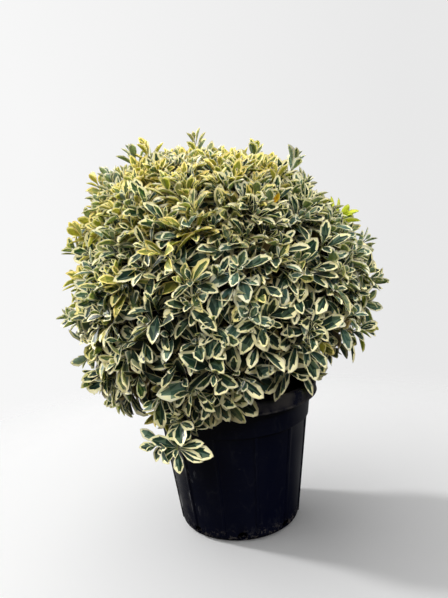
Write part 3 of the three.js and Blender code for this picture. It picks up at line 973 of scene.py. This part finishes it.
def makeLimbMesh(name, path, radii, material):
    data = bpy.data.curves.new(name, "CURVE")
    data.dimensions = "3D"
    data.bevel_depth = 1.0
    data.bevel_resolution = limb["sides"] // 4
    data.use_fill_caps = True
    spline = data.splines.new("POLY")
    spline.points.add(len(path) - 1)
    for point, place, radius in zip(spline.points, path, radii):
        point.co = (*place, 1)
        point.radius = radius
    activate(addObject(name, data))
    bpy.ops.object.convert(target="MESH")
    piece = bpy.context.object
    bpy.ops.object.mode_set(mode="EDIT")
    bpy.ops.mesh.select_all(action="SELECT")
    bpy.ops.mesh.remove_doubles(threshold=limb["weld"])
    bpy.ops.mesh.subdivide(number_cuts=1)
    bpy.ops.mesh.normals_make_consistent(inside=False)
    bpy.ops.object.mode_set(mode="OBJECT")
    ridges = bpy.data.textures.new(name + "_ridges", "CLOUDS")
    ridges.noise_scale = limb["ridgeScale"]
    ridges.noise_depth = 3
    relief = piece.modifiers.new("bark", "DISPLACE")
    relief.texture = ridges
    relief.texture_coords = "LOCAL"
    relief.strength = limb["barkRelief"]
    relief.mid_level = 0.5
    applyModifiers(piece)
    smoothByAngle(piece, limb["smoothAngle"])
    piece.data.materials.clear()
    piece.data.materials.append(material)
    return piece


def makeBark():
    nodes = Nodes("bark")
    place = objectPlace(nodes)
    drawnOut = nodes.mapping(place, scale=(1, 1, 0.22))
    furrows = nodes.group(mottle, drawnOut, Scale=330.0, Low=0.36, High=0.62)
    patches = nodes.group(mottle, place, Scale=70.0, Low=0.45, High=0.68)
    colour = nodes.mix(furrows.outputs["Mask"], limb["furrow"], limb["bark"])
    lichen = nodes.math("MULTIPLY", patches.outputs["Mask"], limb["lichenShare"])
    colour = nodes.mix(lichen, colour, limb["lichen"])
    nodes.link(colour, nodes.shader.inputs["Base Color"])
    nodes.give({"Roughness": 0.85})
    nodes.bump(furrows.outputs["Height"], distance=0.0015, strength=0.6)
    return nodes.material


def taper(path, footRadius, tipRadius):
    return np.linspace(footRadius, tipRadius, len(path))


def makeLimbs():
    bark = makeBark()
    paths = {"stem": stemPath()}
    stem = paths["stem"]
    flare = limb["stemFlare"] * np.exp((stem[0, 2] - stem[:, 2]) / limb["flareHeight"])
    radii = taper(stem, limb["stemFootRadius"], limb["stemTipRadius"]) + flare
    finishPiece(makeLimbMesh("stem_wood", stem, radii, bark), "stem_wood", "bark", "stem")
    for i, (name, toward) in enumerate(zip(massNames[1:], massToward[1:])):
        path = boughPath(stem, toward, limb["boughFoot"] + (i % 2) * limb["boughStep"])
        radii = taper(path, limb["boughFootRadius"], limb["boughTipRadius"])
        paths[name] = path
        wood = makeLimbMesh("wood_" + name, path, radii, bark)
        finishPiece(wood, "bough_wood_" + name, "bark", "bough_" + name)
    paths["low"] = sprayPath(stem)
    radii = taper(paths["low"], spray["boughRadius"], spray["tipRadius"])
    finishPiece(makeLimbMesh("wood_low", paths["low"], radii, bark), "bough_wood_low", "bark", "bough_low")
    paths["top"] = stem
    print("limbs:", len(paths) - 1)
    return paths


# shoots and finer twigs: each one is a path of a few points, thinner toward its tip
twig = {
    "points": 6,
    "sides": 5,
    "shootFoot": 0.0034,
    "shootTip": 0.0018,
    "fineFoot": 0.0016,
    "fineTip": 0.0009,
    "outerCount": 740,
    "outerRecess": (0.016, 0.044),
    "sideRecess": 0.006,
    "topRecess": 0.012,
    "crestCount": 290,
    "crestLowest": 24,
    "innerCount": 430,
    "innerRecess": (0.050, 0.088),
    "lowest": -48,
    "lowThinning": 0.56,
    "lipSideLift": 25,
    "strayRise": 0.6,
    "fineRise": (0.50, 0.38),
    "shadeDepth": 0.056,
    "topShadeDepth": 0.030,
    "plainDepth": 0.060,
    "seed": 21,
    # where the shoots start on a bough, and how far the ends bend
    "footShare": (0.1, 1.0),
    "shootBend": 0.4,
    "fineBend": 0.45,
    # how far the finer twigs stray from an even spread
    "turnJitter": 0.5,
    "placeJitter": 0.03,
    "axisJitter": 0.26,
    "thinFrom": (-0.1, 0.5),
    "lipSide": -15,
    "oldPoints": 2,
    "firstFork": 2,
    "old": (0.10, 0.078, 0.045),
    "young": (0.16, 0.17, 0.055),
    "roughness": 0.7,
    "smoothAngle": 50,
}
aslant = direction(71, 13)  # the rings and leaves of a shoot are set off from here
# where the twigs stop short of the reach, or go past it, as for the lobes
hollows = [
    (-25, -40, -0.030, 24),
    (212, -46, -0.008, 20),
    (300, 78, -0.018, 26),
    (348, 36, -0.018, 22),
    (192, 2, -0.010, 26),
    (203, -32, -0.012, 22),
    (350, -14, 0.012, 20),
]
# azimuth, elevation and recess of single shoots that stand out of the outline; the last one is lime
strays = [
    (193, 42, 0.008), (198, 46, 0.014), (199, 58, 0.008), (206, 62, 0.012), (241, 77, 0.020),
    (318, 66, 0.026), (340, 53, 0.006), (343, 44, 0.028), (348, 12, 0.016), (350, -3, 0.014),
    (192, 23, 0.016), (190, 16, 0.018), (191, -9, 0.022), (340, 24, 0.030),
]


def bentPath(foot, tip, tipAxis, bend):
    span = np.linalg.norm(tip - foot)
    hinge = tip - tipAxis * span * bend
    t = np.linspace(0, 1, twig["points"])[:, None]
    return (1 - t) ** 2 * foot + 2 * t * (1 - t) * hinge + t**2 * tip


def skirtEdge(toward):
    # the skirt ends higher on the right, where the lip shows
    right = unit(toward * (1, 1, 0)) @ direction(twig["lipSide"], 0)
    return np.sin(np.radians(twig["lowest"] + twig["lipSideLift"] * np.clip(right, 0, 1)))


def twigReach(toward):
    return crownReach(toward) + swellAt(toward, hollows)


def growCrown(paths):
    draw = seededRandom(crown["seed"])
    random = np.random.default_rng(twig["seed"])
    jitter = crown["shootJitter"]
    toward = goldenSpread(crown["shoots"], crown["lowestShoot"], lambda i: jitter * (draw() - 0.5))
    shootTips = crown["centre"] + toward * (twigReach(toward) - crown["shootRecess"])[:, None]
    shootMass = massOf(shootTips)
    axes = risingAxis(toward, crown["shootRise"], crown["skirtRise"])
    grown = []
    shootPaths = []
    for tip, axis, mass in zip(shootTips, axes, shootMass):
        bough = paths[massNames[mass]]
        heading = unit(bough[-1] - bough[-2])
        foot = bough[-1] + heading * limb["massStem"] * random.uniform(*twig["footShare"])
        shootPaths.append(bentPath(foot, tip, axis, twig["shootBend"]))
        grown.append({"path": shootPaths[-1], "axis": axis, "mass": mass, "kind": "shoot"})
    fine = [
        ("outer", twig["outerCount"], twig["lowest"], twig["outerRecess"]),
        ("outer", twig["crestCount"], twig["crestLowest"], twig["outerRecess"]),
        ("inner", twig["innerCount"], twig["lowest"], twig["innerRecess"]),
    ]
    for kind, count, lowest, recess in fine:
        toward = goldenSpread(count, lowest, lambda i: twig["turnJitter"] * (random.random() - 0.5))
        toward = unit(toward + random.normal(0, twig["placeJitter"], toward.shape))
        steep = toward[:, 2] ** 2
        inset = random.uniform(*recess, count) + twig["sideRecess"] * (1 - steep)
        inset = inset + twig["topRecess"] * steep
        rising = risingAxis(toward, *twig["fineRise"])
        axes = unit(rising + random.normal(0, twig["axisJitter"], toward.shape))
        thinned = twig["lowThinning"] * smoothstep(-toward[:, 2], *twig["thinFrom"]) * (kind == "outer")
        kept = random.random(count) > thinned
        grown += forkTwigs(kind, toward[kept], axes[kept], inset[kept], shootPaths, shootMass, random)
    toward = np.array([direction(azimuth, elevation) for azimuth, elevation, recess in strays])
    inset = np.array([recess for azimuth, elevation, recess in strays])
    axes = unit(toward + up * twig["strayRise"])
    grown += forkTwigs("stray", toward, axes, inset, shootPaths, shootMass, random)
    return grown


def forkTwigs(kind, toward, axes, inset, shootPaths, shootMass, random):
    hollow = 0 if kind == "stray" else swellAt(toward, hollows)
    tips = crown["centre"] + toward * (crownReach(toward) + hollow - inset)[:, None]
    shootTips = np.array([path[-1] for path in shootPaths])
    fits = clearOfPot(tips) & (toward[:, 2] > skirtEdge(toward))
    forked = []
    for tip, axis, mass in zip(tips[fits], axes[fits], massOf(tips[fits])):
        # the nearest shoot of the same mass
        near = np.linalg.norm(shootTips - tip, axis=1) + np.where(shootMass == mass, 0, 1)
        parent = shootPaths[int(np.argmin(near))]
        foot = parent[random.integers(twig["firstFork"], twig["points"] - 1)]
        path = bentPath(foot, tip, axis, twig["fineBend"])
        forked.append({"path": path, "axis": axis, "mass": mass, "kind": kind})
    return forked


def growSpray(path):
    out = direction(spray["azimuth"], 0)
    heading = unit(path[-1] - path[-2])
    elbow = path[-1] + heading * spray["elbow"]
    knee = elbow + (out - up) * spray["elbow"]
    bare = smoothPath([path[-1], elbow, knee], steps=3)[: twig["points"]]
    grown = [{"path": bare, "axis": heading, "kind": "bare"}]

    def addShoot(place, facing, size, **leaves):
        axis = direction(*facing)
        shoot = bentPath(knee, np.array(place), axis, twig["shootBend"])
        grown.append({"path": shoot, "axis": axis, "kind": "spray", "size": size, **leaves})

    addShoot(spray["starPlace"], spray["starFacing"], spray["starSize"], star=spray["starLeaves"])
    for place, facing, size, turn in spray["rosettes"]:
        addShoot(place, facing, size, turn=math.radians(turn))
    return grown


def makeTwigPiece(name, grown, nodeName, materials):
    sides = twig["sides"]
    ring = np.linspace(0, 2 * math.pi, sides, endpoint=False)
    places, faces, slots = [], [], []
    count = 0
    for one in grown:
        path = one["path"]
        thick = one["kind"] in ("shoot", "bare")
        footKey, tipKey = ("shootFoot", "shootTip") if thick else ("fineFoot", "fineTip")
        tangent = unit(np.gradient(path, axis=0))
        level = unit(np.cross(tangent, aslant))
        over = np.cross(tangent, level)
        radius = taper(path, twig[footKey], twig[tipKey])[:, None, None]
        tube = level[:, None] * np.cos(ring)[None, :, None] + over[:, None] * np.sin(ring)[None, :, None]
        places.append((path[:, None] + tube * radius).reshape(-1, 3))
        for i in range(len(path) - 1):
            for k in range(sides):
                a = count + i * sides + k
                b = count + i * sides + (k + 1) % sides
                faces.append((a, b, b + sides, a + sides))
                slots.append(0 if thick or i < twig["oldPoints"] else 1)
        faces.append(tuple(range(count + sides - 1, count - 1, -1)))
        faces.append(tuple(range(count + (len(path) - 1) * sides, count + len(path) * sides)))
        slots += [0, 1]
        count += len(path) * sides
    mesh = bpy.data.meshes.new(name)
    mesh.from_pydata(np.concatenate(places), [], faces)
    for material in materials:
        mesh.materials.append(material)
    mesh.polygons.foreach_set("material_index", slots)
    piece = addObject(name, mesh)
    smoothByAngle(piece, twig["smoothAngle"])
    finishPiece(piece, name, "bark", nodeName)


# leaves: a folded, arched blade with a green middle, a feathered border and a cream margin
leaf = {
    "length": (0.040, 0.053),
    "widthShare": (0.36, 0.46),
    "thickness": 0.0005,
    "rows": [0.19, 0.43, 0.67, 0.88],
    "innerRows": [0.28, 0.58, 0.84],
    "rib": 0.07,
    "ribTint": 0.55,
    # share of the blade that is green, one for each variant, from pale to dark
    "greens": [0.55, 0.64] + [0.76] * 3 + [0.82] * 5 + [0.88] * 6,
    "innerGreens": [0.80, 0.90],
    "pairStep": 0.0075,
    # spread from the shoot and size of each pair, from the tip back
    "pairs": [(20, 0.50), (44, 0.84), (66, 1.04), (84, 1.06)],
    "droop": (0.10, 0.80),
    "sprayDroop": 0.12,
    # the leaves of the top are smaller, steeper, straighter and more folded
    "top": {"size": 0.84, "width": 0.88, "spread": 0.62, "droop": 0.2, "bend": 0.5},
    "stray": {"size": 0.74, "width": 0.92, "spread": 0.52, "droop": 0.2, "bend": 0.5},
    "lowSize": 1.26,
    "sprayWidth": 1.06,
    "topFold": 0.20,
    # paler variants at the top: partly the leaves' own colour, partly painted light
    "topPaleness": 0.8,
    "limeSize": 1.45,
    "fold": (0.20, 0.60),
    "bend": (0.0, 0.7),
    # light that comes through the blade
    "glow": 0.5,
    "glowDepth": 0.003,
    "glowTint": (0.95, 1.0, 0.47),
    # each from the upper face to the one underneath
    "roughness": (0.45, 0.65),
    "specular": (0.42, 0.25),
    "seed": 79,
    # outline: the stalk, where the blade is widest, how pointed it is, and how its edge sweeps ahead
    "stalk": 0.07,
    "blade": 0.93,
    "stalkWidth": 0.07,
    "swell": (1.35, 1.85),
    "point": (0.86, 1.12),
    "sweep": 0.08,
    "sweepFrom": 0.2,
    "borderSweep": 0.7,
    "toothSweep": 0.3,
    # border of the green: how it narrows to the tip, its tilt and how uneven it is
    "fade": 0.72,
    "fadeFrom": (0.59, 1.03),
    "tilt": 0.06,
    "unevenness": 0.06,
    "borderRange": (0.18, 0.93),
    "toothDepth": (0.06, 0.54),
    "toothFrom": (0.36, 0.80),
    "toothShare": (0.2, 1.0),
    "toothGap": 0.03,
    # chance of a tooth in the feather's or the middle's colour, and of a pale streak
    "toothTints": (0.55, 0.45),
    "streakShare": 0.35,
    # how the leaves of a shoot differ from an even rosette
    "missing": 0.05,
    "turnJitter": 0.2,
    "spreadJitter": 9,
    "rollJitter": 0.25,
    "droopShare": (0.3, 1.6),
    "firstStep": 0.15,
    "starSteps": 8,
    "faceRise": 0.25,
    # some leaves take one of the first few tones instead of their spray's
    "oddShare": 0.08,
    "oddTones": 3,
    # over which heights below and above the middle the habit changes
    "lowOver": 0.2,
    "highOver": 0.17,
    "shortest": 0.018,
    "leastBend": 1e-4,
    "smoothAngle": 70,
}
kinds = ["middle", "rib", "feather", "margin", "under", "underMargin"]


def bladeWidth(along, swell, point):
    s = np.clip((along - leaf["stalk"]) / leaf["blade"], 0, 1)
    peak = swell / (swell + point)
    width = s**swell * (1 - s) ** point / (peak**swell * (1 - peak) ** point)
    return max(float(width), leaf["stalkWidth"] if along < 0.5 else 0.0)


def makeLeafVariant(green, rows, toothed, random):
    swell = random.uniform(*leaf["swell"])
    point = random.uniform(*leaf["point"])
    tilt = random.normal(0, leaf["tilt"])
    leastDepth, moreDepth = leaf["toothDepth"]
    along, across = [0.0], [0.0]
    under = [0]
    for share in rows:
        depth = leastDepth + moreDepth * smoothstep(share, *leaf["toothFrom"])
        sweep = leaf["sweep"] * math.sin(math.pi * share) * (share > leaf["sweepFrom"])
        fade = 1.0 - leaf["fade"] * smoothstep(share, *leaf["fadeFrom"])
        halves = []
        for side in (1, -1):
            # edge, border, and on a toothed blade the foot of the tooth and the rib
            border = (green + side * tilt) * fade + random.normal(0, leaf["unevenness"])
            border = np.clip(border, *leaf["borderRange"])
            half = [(share + sweep, 1.0), (share + sweep * leaf["borderSweep"], border)]
            if toothed:
                tooth = border * (1 - depth * random.uniform(*leaf["toothShare"]))
                tooth = max(tooth, leaf["rib"] + leaf["toothGap"])
                half += [(share + sweep * leaf["toothSweep"], tooth), (share, leaf["rib"])]
            halves.append([(place, side * part * bladeWidth(place, swell, point)) for place, part in half])
        below = [halves[1][1], (share, 0.0), halves[0][1]]
        corners = halves[0] + halves[1][::-1] + below
        along += [place for place, part in corners]
        across += [part for place, part in corners]
        under += [0] * (len(corners) - len(below)) + [1] * len(below)
    faces, painted = leafFaces(len(rows), toothed, random)
    return {
        "along": np.array(along + [1.0]),
        "across": np.array(across + [0.0]),
        "under": np.array(under + [0]),
        "faces": faces,
        "kinds": painted,
    }


def leafFaces(rows, toothed, random):
    middle, rib, feather, margin, under, underMargin = range(len(kinds))
    below = [underMargin, under, under, underMargin]
    strip = [margin, middle, margin] + below
    if toothed:
        strip = [margin, feather, middle, rib, middle, feather, margin] + below
    columns = len(strip)
    faces, painted = [], []

    def at(row, column):
        return 1 + row * columns + column % columns

    for column, kind in enumerate(strip):
        faces.append((0, at(0, column + 1), at(0, column)))
        painted.append(middle if kind == feather else kind)
    for row in range(rows - 1):
        for column, kind in enumerate(strip):
            a, b = at(row, column), at(row, column + 1)
            c, d = at(row + 1, column + 1), at(row + 1, column)
            parts = [(a, b, d), (b, c, d)] if column < columns // 2 else [(a, b, c), (a, c, d)]
            if kind == feather:
                # a green tooth that points to the border and ahead, with cream behind it
                faces += parts
                painted += [margin, random.choice([feather, middle], p=leaf["toothTints"])]
            elif kind == middle and toothed and random.random() < leaf["streakShare"]:
                # a pale streak between two veins
                faces += parts
                painted += [rib, middle]
            else:
                faces.append((a, b, c, d))
                painted.append(kind)
    for column, kind in enumerate(strip):
        faces.append((at(rows - 1, column), at(rows - 1, column + 1), at(rows, 0)))
        painted.append(underMargin if kind in below else margin)
    return faces, painted


tones = {
    # middle, feather, margin, and the two underneath
    "blue": [(0.0065, 0.022, 0.0148), (0.10, 0.15, 0.095), (0.80, 0.735, 0.375),
             # shaded: a darker copy of blue, painted shade for leaves low on the ball and inside it
             (0.13, 0.18, 0.13), (0.58, 0.55, 0.34)],
    "shaded": [(0.0052, 0.0140, 0.0085), (0.07, 0.11, 0.065), (0.80, 0.72, 0.35),
             (0.09, 0.13, 0.09), (0.50, 0.46, 0.26)],
    # greySheen: grey-green leaves, partly their own colour and partly a painted sheen of the sky
    "greySheen": [(0.036, 0.078, 0.058), (0.16, 0.23, 0.16), (0.76, 0.73, 0.43),
             (0.16, 0.22, 0.17), (0.62, 0.60, 0.42)],
    "olive": [(0.055, 0.088, 0.030), (0.22, 0.24, 0.08), (0.82, 0.70, 0.24),
              (0.19, 0.22, 0.06), (0.70, 0.62, 0.20)],
    "yellow": [(0.15, 0.17, 0.030), (0.44, 0.38, 0.08), (0.88, 0.69, 0.20),
               (0.34, 0.32, 0.08), (0.80, 0.65, 0.21)],
    "pale": [(0.08, 0.125, 0.070), (0.31, 0.33, 0.17), (0.82, 0.71, 0.33),
             (0.26, 0.28, 0.15), (0.74, 0.65, 0.35)],
    "tan": [(0.15, 0.105, 0.045), (0.28, 0.20, 0.08), (0.58, 0.44, 0.20),
            (0.28, 0.20, 0.09), (0.50, 0.37, 0.17)],
    "shade": [(0.006, 0.012, 0.0065), (0.02, 0.03, 0.015), (0.11, 0.09, 0.04),
              (0.015, 0.02, 0.01), (0.07, 0.06, 0.025)],
    "lime": [(0.44, 0.56, 0.02), (0.54, 0.63, 0.03), (0.70, 0.74, 0.06),
             (0.50, 0.58, 0.05), (0.62, 0.68, 0.07)],
    "orange": [(0.84, 0.38, 0.01), (0.86, 0.44, 0.02), (0.88, 0.52, 0.03),
               (0.66, 0.36, 0.05), (0.70, 0.40, 0.05)],
}
toneNames = list(tones)


def makeLeafMaterials():
    made = []
    for tone in toneNames:
        middle, feather = np.array(tones[tone][:2])
        rib = middle + (feather - middle) * leaf["ribTint"]
        for kind, colour in zip(kinds, [middle, rib] + tones[tone][1:]):
            nodes = Nodes("leaf_" + tone + "_" + kind)
            underneath = kind.startswith("under")
            nodes.give({
                "Base Color": (*colour, 1),
                "Roughness": leaf["roughness"][underneath],
                "Specular IOR Level": leaf["specular"][underneath],
                "Subsurface Weight": leaf["glow"],
                "Subsurface Scale": leaf["glowDepth"],
                "Subsurface Radius": leaf["glowTint"],
            })
            made.append(nodes.material)
    return made


orangeLeaf = {
    # photo pixel of the one orange leaf, and how many pixels off it may lie
    "pixel": (278, 204),
    "within": 9,
    # place along the blade that is compared, and how far the blade faces the camera
    "part": 0.6,
    "facing": 0.6,
    "size": 1.35,
}


def depthInCrown(points):
    offset = points - crown["centre"]
    return twigReach(unit(offset)) - np.linalg.norm(offset, axis=1)


# where the zones of the ball lie, and between which cosines or heights each one sets in
zones = {
    # sunToward faces the key light; tones dealt on that side are partly painted warm light
    "sunToward": (-0.6, -0.2, 0.75),
    "sunny": (0.2, 0.95),
    "crest": (0.45, 0.85),
    "low": (-0.1, 0.7),
    "upper": (0.0, 0.5),
    # tan leaves come up toward the lower right
    "tanPatchToward": (328, -28),
    "tanPatch": (0.84, 0.98),
}


def toneOfTips(tips, random):
    toward = unit(tips - crown["centre"])
    sunny = smoothstep(toward @ unit(np.array(zones["sunToward"])), *zones["sunny"])
    crest = smoothstep(toward[:, 2], *zones["crest"])
    low = smoothstep(-toward[:, 2], *zones["low"])
    upper = smoothstep(toward[:, 2], *zones["upper"])
    tanPatch = smoothstep(toward @ direction(*zones["tanPatchToward"]), *zones["tanPatch"])
    picked = []
    for warm, high, shade, lit, brown, depth in zip(sunny, crest, low, upper, tanPatch, depthInCrown(tips)):
        # chance of each tone; far inside only a few of them come up, mostly dark ones that are painted
        # shade
        weights = {
            "blue": 0.5 * (1 - 0.6 * high),
            # the shaded tone comes up more toward the bottom, as painted shade
            "shaded": (0.12 + 0.45 * shade) * (1 - high),
            # greySheen comes up more at the top, as painted sky sheen
            "greySheen": (0.30 + 0.40 * high) * (1 - shade),
            # olive, yellow and pale come up toward the sunny upper left and the top: partly the leaves'
            # own colour, partly painted warm light
            "olive": 0.04 + 0.75 * warm,
            "yellow": 0.005 + 0.95 * warm**2 + 0.20 * high,
            "pale": 0.05 + 0.22 * high + 0.15 * warm,
            "tan": 0.01 * shade + 0.25 * brown,
        }
        if depth > twig["shadeDepth"] + twig["topShadeDepth"] * high:
            weights = {"shade": 0.8 - 0.5 * lit, "shaded": 0.5 * lit, "tan": 0.2}
        chance = np.array(list(weights.values()))
        picked.append(toneNames.index(random.choice(list(weights), p=chance / chance.sum())))
    return np.array(picked)


def column(rows, key):
    return np.array([row[key] for row in rows])


def spotsAlong(rows, part):
    return np.array([row["root"] + row["along"] * row["length"] * part for row in rows])


def leafNearPixel(rows, pixel):
    # the foremost leaf there that faces the camera
    eye = np.array(view["place"])
    spots = spotsAlong(rows, orangeLeaf["part"])
    away = np.linalg.norm(pixelsOf(spots) - pixel, axis=1)
    facing = column(rows, "face") @ unit(eye - crown["centre"])
    near = np.flatnonzero((away < orangeLeaf["within"]) & (facing > orangeLeaf["facing"]))
    return near[np.argmin(np.linalg.norm(spots[near] - eye, axis=1))]


def leafPlan(one, random):
    # step down the shoot, turn, spread and size of each leaf
    steps = leaf["starSteps"]
    if "star" in one:
        return [(k / steps, math.radians(turn), spread, size)
                for k, (turn, spread, size) in enumerate(one["star"], steps)]
    start = one["turn"] if "turn" in one else random.uniform(0, math.pi)
    plan = []
    for k, (spread, size) in enumerate(leaf["pairs"]):
        for side in (0, 1):
            if k and random.random() < leaf["missing"]:
                continue
            turn = start + k * math.pi / 2 + k // 2 * math.pi / 4 + side * math.pi
            turn += random.normal(0, leaf["turnJitter"])
            plan.append((k, turn, spread + random.normal(0, leaf["spreadJitter"]), size))
    return plan


def pickVariant(inner, paleness, random):
    if inner:
        return len(leaf["greens"]) + random.integers(len(leaf["innerGreens"]))
    return int(len(leaf["greens"]) * random.random() ** paleness)


def leavesOfTip(one, tone, random, scale):
    path, axis = one["path"], one["axis"]
    level = unit(np.cross(up if "star" in one else aslant, axis))
    over = np.cross(axis, level)
    back = unit(path[-1] - path[-2])
    low = smoothstep(crown["centre"][2] - path[-1][2], 0.0, leaf["lowOver"])
    droop = leaf["droop"][0] + (leaf["droop"][1] - leaf["droop"][0]) * low
    if one["kind"] == "spray":
        droop = leaf["sprayDroop"]
        low = 0
    high = smoothstep(path[-1][2] - crown["centre"][2], 0.0, leaf["highOver"])
    habit = {key: 1 + (value - 1) * high for key, value in leaf["top"].items()}
    if one["kind"] == "stray":
        habit = leaf["stray"]
    if one["kind"] == "spray":
        habit["width"] = leaf["sprayWidth"]
    inner = tone == toneNames.index("shade") or depthInCrown(path[-1:])[0] > twig["plainDepth"]
    mayDiffer = tone < toneNames.index("tan")
    rows = []
    for k, turn, spread, size in leafPlan(one, random):
        root = path[-1] - back * leaf["pairStep"] * scale * (k + leaf["firstStep"])
        lean = math.radians(spread * habit["spread"])
        out = level * math.cos(turn) + over * math.sin(turn)
        along = axis * math.cos(lean) + out * math.sin(lean)
        along = unit(along - up * droop * random.uniform(*leaf["droopShare"]) * (k > 0) * habit["droop"])
        face = axis * math.sin(lean) - out * math.cos(lean) + up * leaf["faceRise"]
        face = unit(face - along * (face @ along))
        roll = random.normal(0, leaf["rollJitter"])
        across = np.cross(face, along)
        odd = mayDiffer and random.random() < leaf["oddShare"]
        length = random.uniform(*leaf["length"]) * size * scale * habit["size"]
        rows.append({
            "root": root,
            "along": along,
            "across": across * math.cos(roll) - face * math.sin(roll),
            "face": face * math.cos(roll) + across * math.sin(roll),
            "length": length * (1 + (leaf["lowSize"] - 1) * low),
            "width": random.uniform(*leaf["widthShare"]) * habit["width"],
            "fold": random.uniform(*leaf["fold"]) + leaf["topFold"] * high,
            "bend": random.uniform(*leaf["bend"]) * habit["bend"],
            "variant": pickVariant(inner, 1 + leaf["topPaleness"] * high, random),
            "tone": random.integers(0, leaf["oddTones"]) if odd else tone,
            "free": one["kind"] in ("stray", "spray"),
        })
    return rows


def keepInReach(rows):
    kept = []
    tips = spotsAlong(rows, 1)
    over = -depthInCrown(tips) - crown["stray"]
    fine = clearOfPot(tips) & clearOfPot(spotsAlong(rows, 0.5))
    for row, past, clear in zip(rows, over, fine):
        if not clear:
            continue
        if past > 0 and not row["free"]:
            row["length"] -= past
            if row["length"] < leaf["shortest"]:
                continue
        kept.append(row)
    return kept


def makeLeafPiece(name, rows, nodeName, variants, materials):
    places, corners, sizes, slots = [], [], [], []
    count = 0
    for number, variant in enumerate(variants):
        chosen = [row for row in rows if row["variant"] == number]
        if not chosen:
            continue
        length = column(chosen, "length")[:, None]
        width = column(chosen, "width")[:, None] * length / 2
        bend = column(chosen, "bend")[:, None] + leaf["leastBend"]
        turn = bend * variant["along"]
        side = variant["across"] * width
        ahead = length * np.sin(turn) / bend
        rise = -length * (1 - np.cos(turn)) / bend
        lift = column(chosen, "fold")[:, None] * np.abs(side) - variant["under"] * leaf["thickness"]
        ahead = ahead + lift * np.sin(turn)
        rise = rise + lift * np.cos(turn)
        spots = column(chosen, "root")[:, None]
        for key, shares in (("along", ahead), ("across", side), ("face", rise)):
            spots = spots + column(chosen, key)[:, None] * shares[..., None]
        points = len(variant["along"])
        shift = count + np.arange(len(chosen))[:, None] * points
        toneShift = column(chosen, "tone")[:, None] * len(kinds)
        for corner in (3, 4):
            picked = [i for i, face in enumerate(variant["faces"]) if len(face) == corner]
            loops = np.array([variant["faces"][i] for i in picked]).reshape(1, -1) + shift
            corners.append(loops.ravel())
            sizes.append(np.full(len(picked) * len(chosen), corner))
            slots.append((np.array([variant["kinds"][i] for i in picked])[None] + toneShift).ravel())
        places.append(spots.reshape(-1, 3))
        count += len(chosen) * points
    places, corners = np.concatenate(places), np.concatenate(corners)
    sizes, slots = np.concatenate(sizes), np.concatenate(slots)
    mesh = bpy.data.meshes.new(name)
    mesh.vertices.add(count)
    mesh.vertices.foreach_set("co", places.ravel())
    mesh.loops.add(len(corners))
    mesh.loops.foreach_set("vertex_index", corners)
    mesh.polygons.add(len(sizes))
    mesh.polygons.foreach_set("loop_start", np.concatenate([[0], np.cumsum(sizes)[:-1]]))
    used = np.unique(slots)
    for index in used:
        mesh.materials.append(materials[index])
    mesh.polygons.foreach_set("material_index", np.searchsorted(used, slots))
    mesh.update(calc_edges=True)
    piece = addObject(name, mesh)
    smoothByAngle(piece, leaf["smoothAngle"])
    finishPiece(piece, name, "leaves", nodeName)
    return int((sizes - 2).sum())


def makeTwigMaterials():
    made = []
    for age in ("old", "young"):
        nodes = Nodes("twig_" + age)
        nodes.give({"Base Color": (*twig[age], 1), "Roughness": twig["roughness"]})
        made.append(nodes.material)
    return made


def leafParts(name, rows):
    # the top has so many leaves that it is two pieces
    if name != "top":
        return [(name, rows)]
    middle = crown["centre"][0]
    left = [row for row in rows if row["root"][0] < middle]
    right = [row for row in rows if row["root"][0] >= middle]
    return [("top_left", left), ("top_right", right)]


def makeFoliage(paths):
    random = np.random.default_rng(leaf["seed"])
    variants = [makeLeafVariant(green, leaf["rows"], True, random) for green in leaf["greens"]]
    variants += [makeLeafVariant(green, leaf["innerRows"], False, random) for green in leaf["innerGreens"]]
    leafMaterials = makeLeafMaterials()
    twigMaterials = makeTwigMaterials()
    grown = growCrown(paths)
    tips = np.array([one["path"][-1] for one in grown])
    picked = toneOfTips(tips, random)
    picked[-1] = toneNames.index("lime")
    rows = []
    for one, tone in zip(grown, picked):
        rows += leavesOfTip(one, tone, random, leaf["limeSize"] if tone == picked[-1] else 1.0)
    rows = keepInReach(rows)
    orange = rows[leafNearPixel(rows, orangeLeaf["pixel"])]
    orange["tone"] = toneNames.index("orange")
    orange["length"] *= orangeLeaf["size"]
    print("orange leaf at", pixelsOf(spotsAlong([orange], 0.5)).round())
    owners = massOf(column(rows, "root"))
    triangles = 0
    for index, name in enumerate(massNames):
        own = [row for row, owner in zip(rows, owners) if owner == index]
        stems = [one for one in grown if one["mass"] == index]
        for label, part in leafParts(name, own):
            made = makeLeafPiece("leaves_" + label, part, "foliage_" + name, variants, leafMaterials)
            print("leaves", label, len(part), "with", made, "triangles")
            triangles += made
        makeTwigPiece("twigs_" + name, stems, "foliage_" + name, twigMaterials)
        print("foliage", name, len(own), "leaves on", len(stems), "twigs")
    grown = growSpray(paths["low"])
    rows = []
    for one in grown[1:]:
        rows += leavesOfTip(one, toneNames.index("blue"), random, one["size"])
    rows = keepInReach(rows)
    triangles += makeLeafPiece("leaves_low_spray", rows, "foliage_low_spray", variants, leafMaterials)
    makeTwigPiece("twigs_low_spray", grown, "foliage_low_spray", twigMaterials)
    print("leaf triangles:", triangles)


makeCamera()
potShade = makeStudio()
makePot(potShade)
makeSoil()
limbPaths = makeLimbs()
makeFoliage(limbPaths)
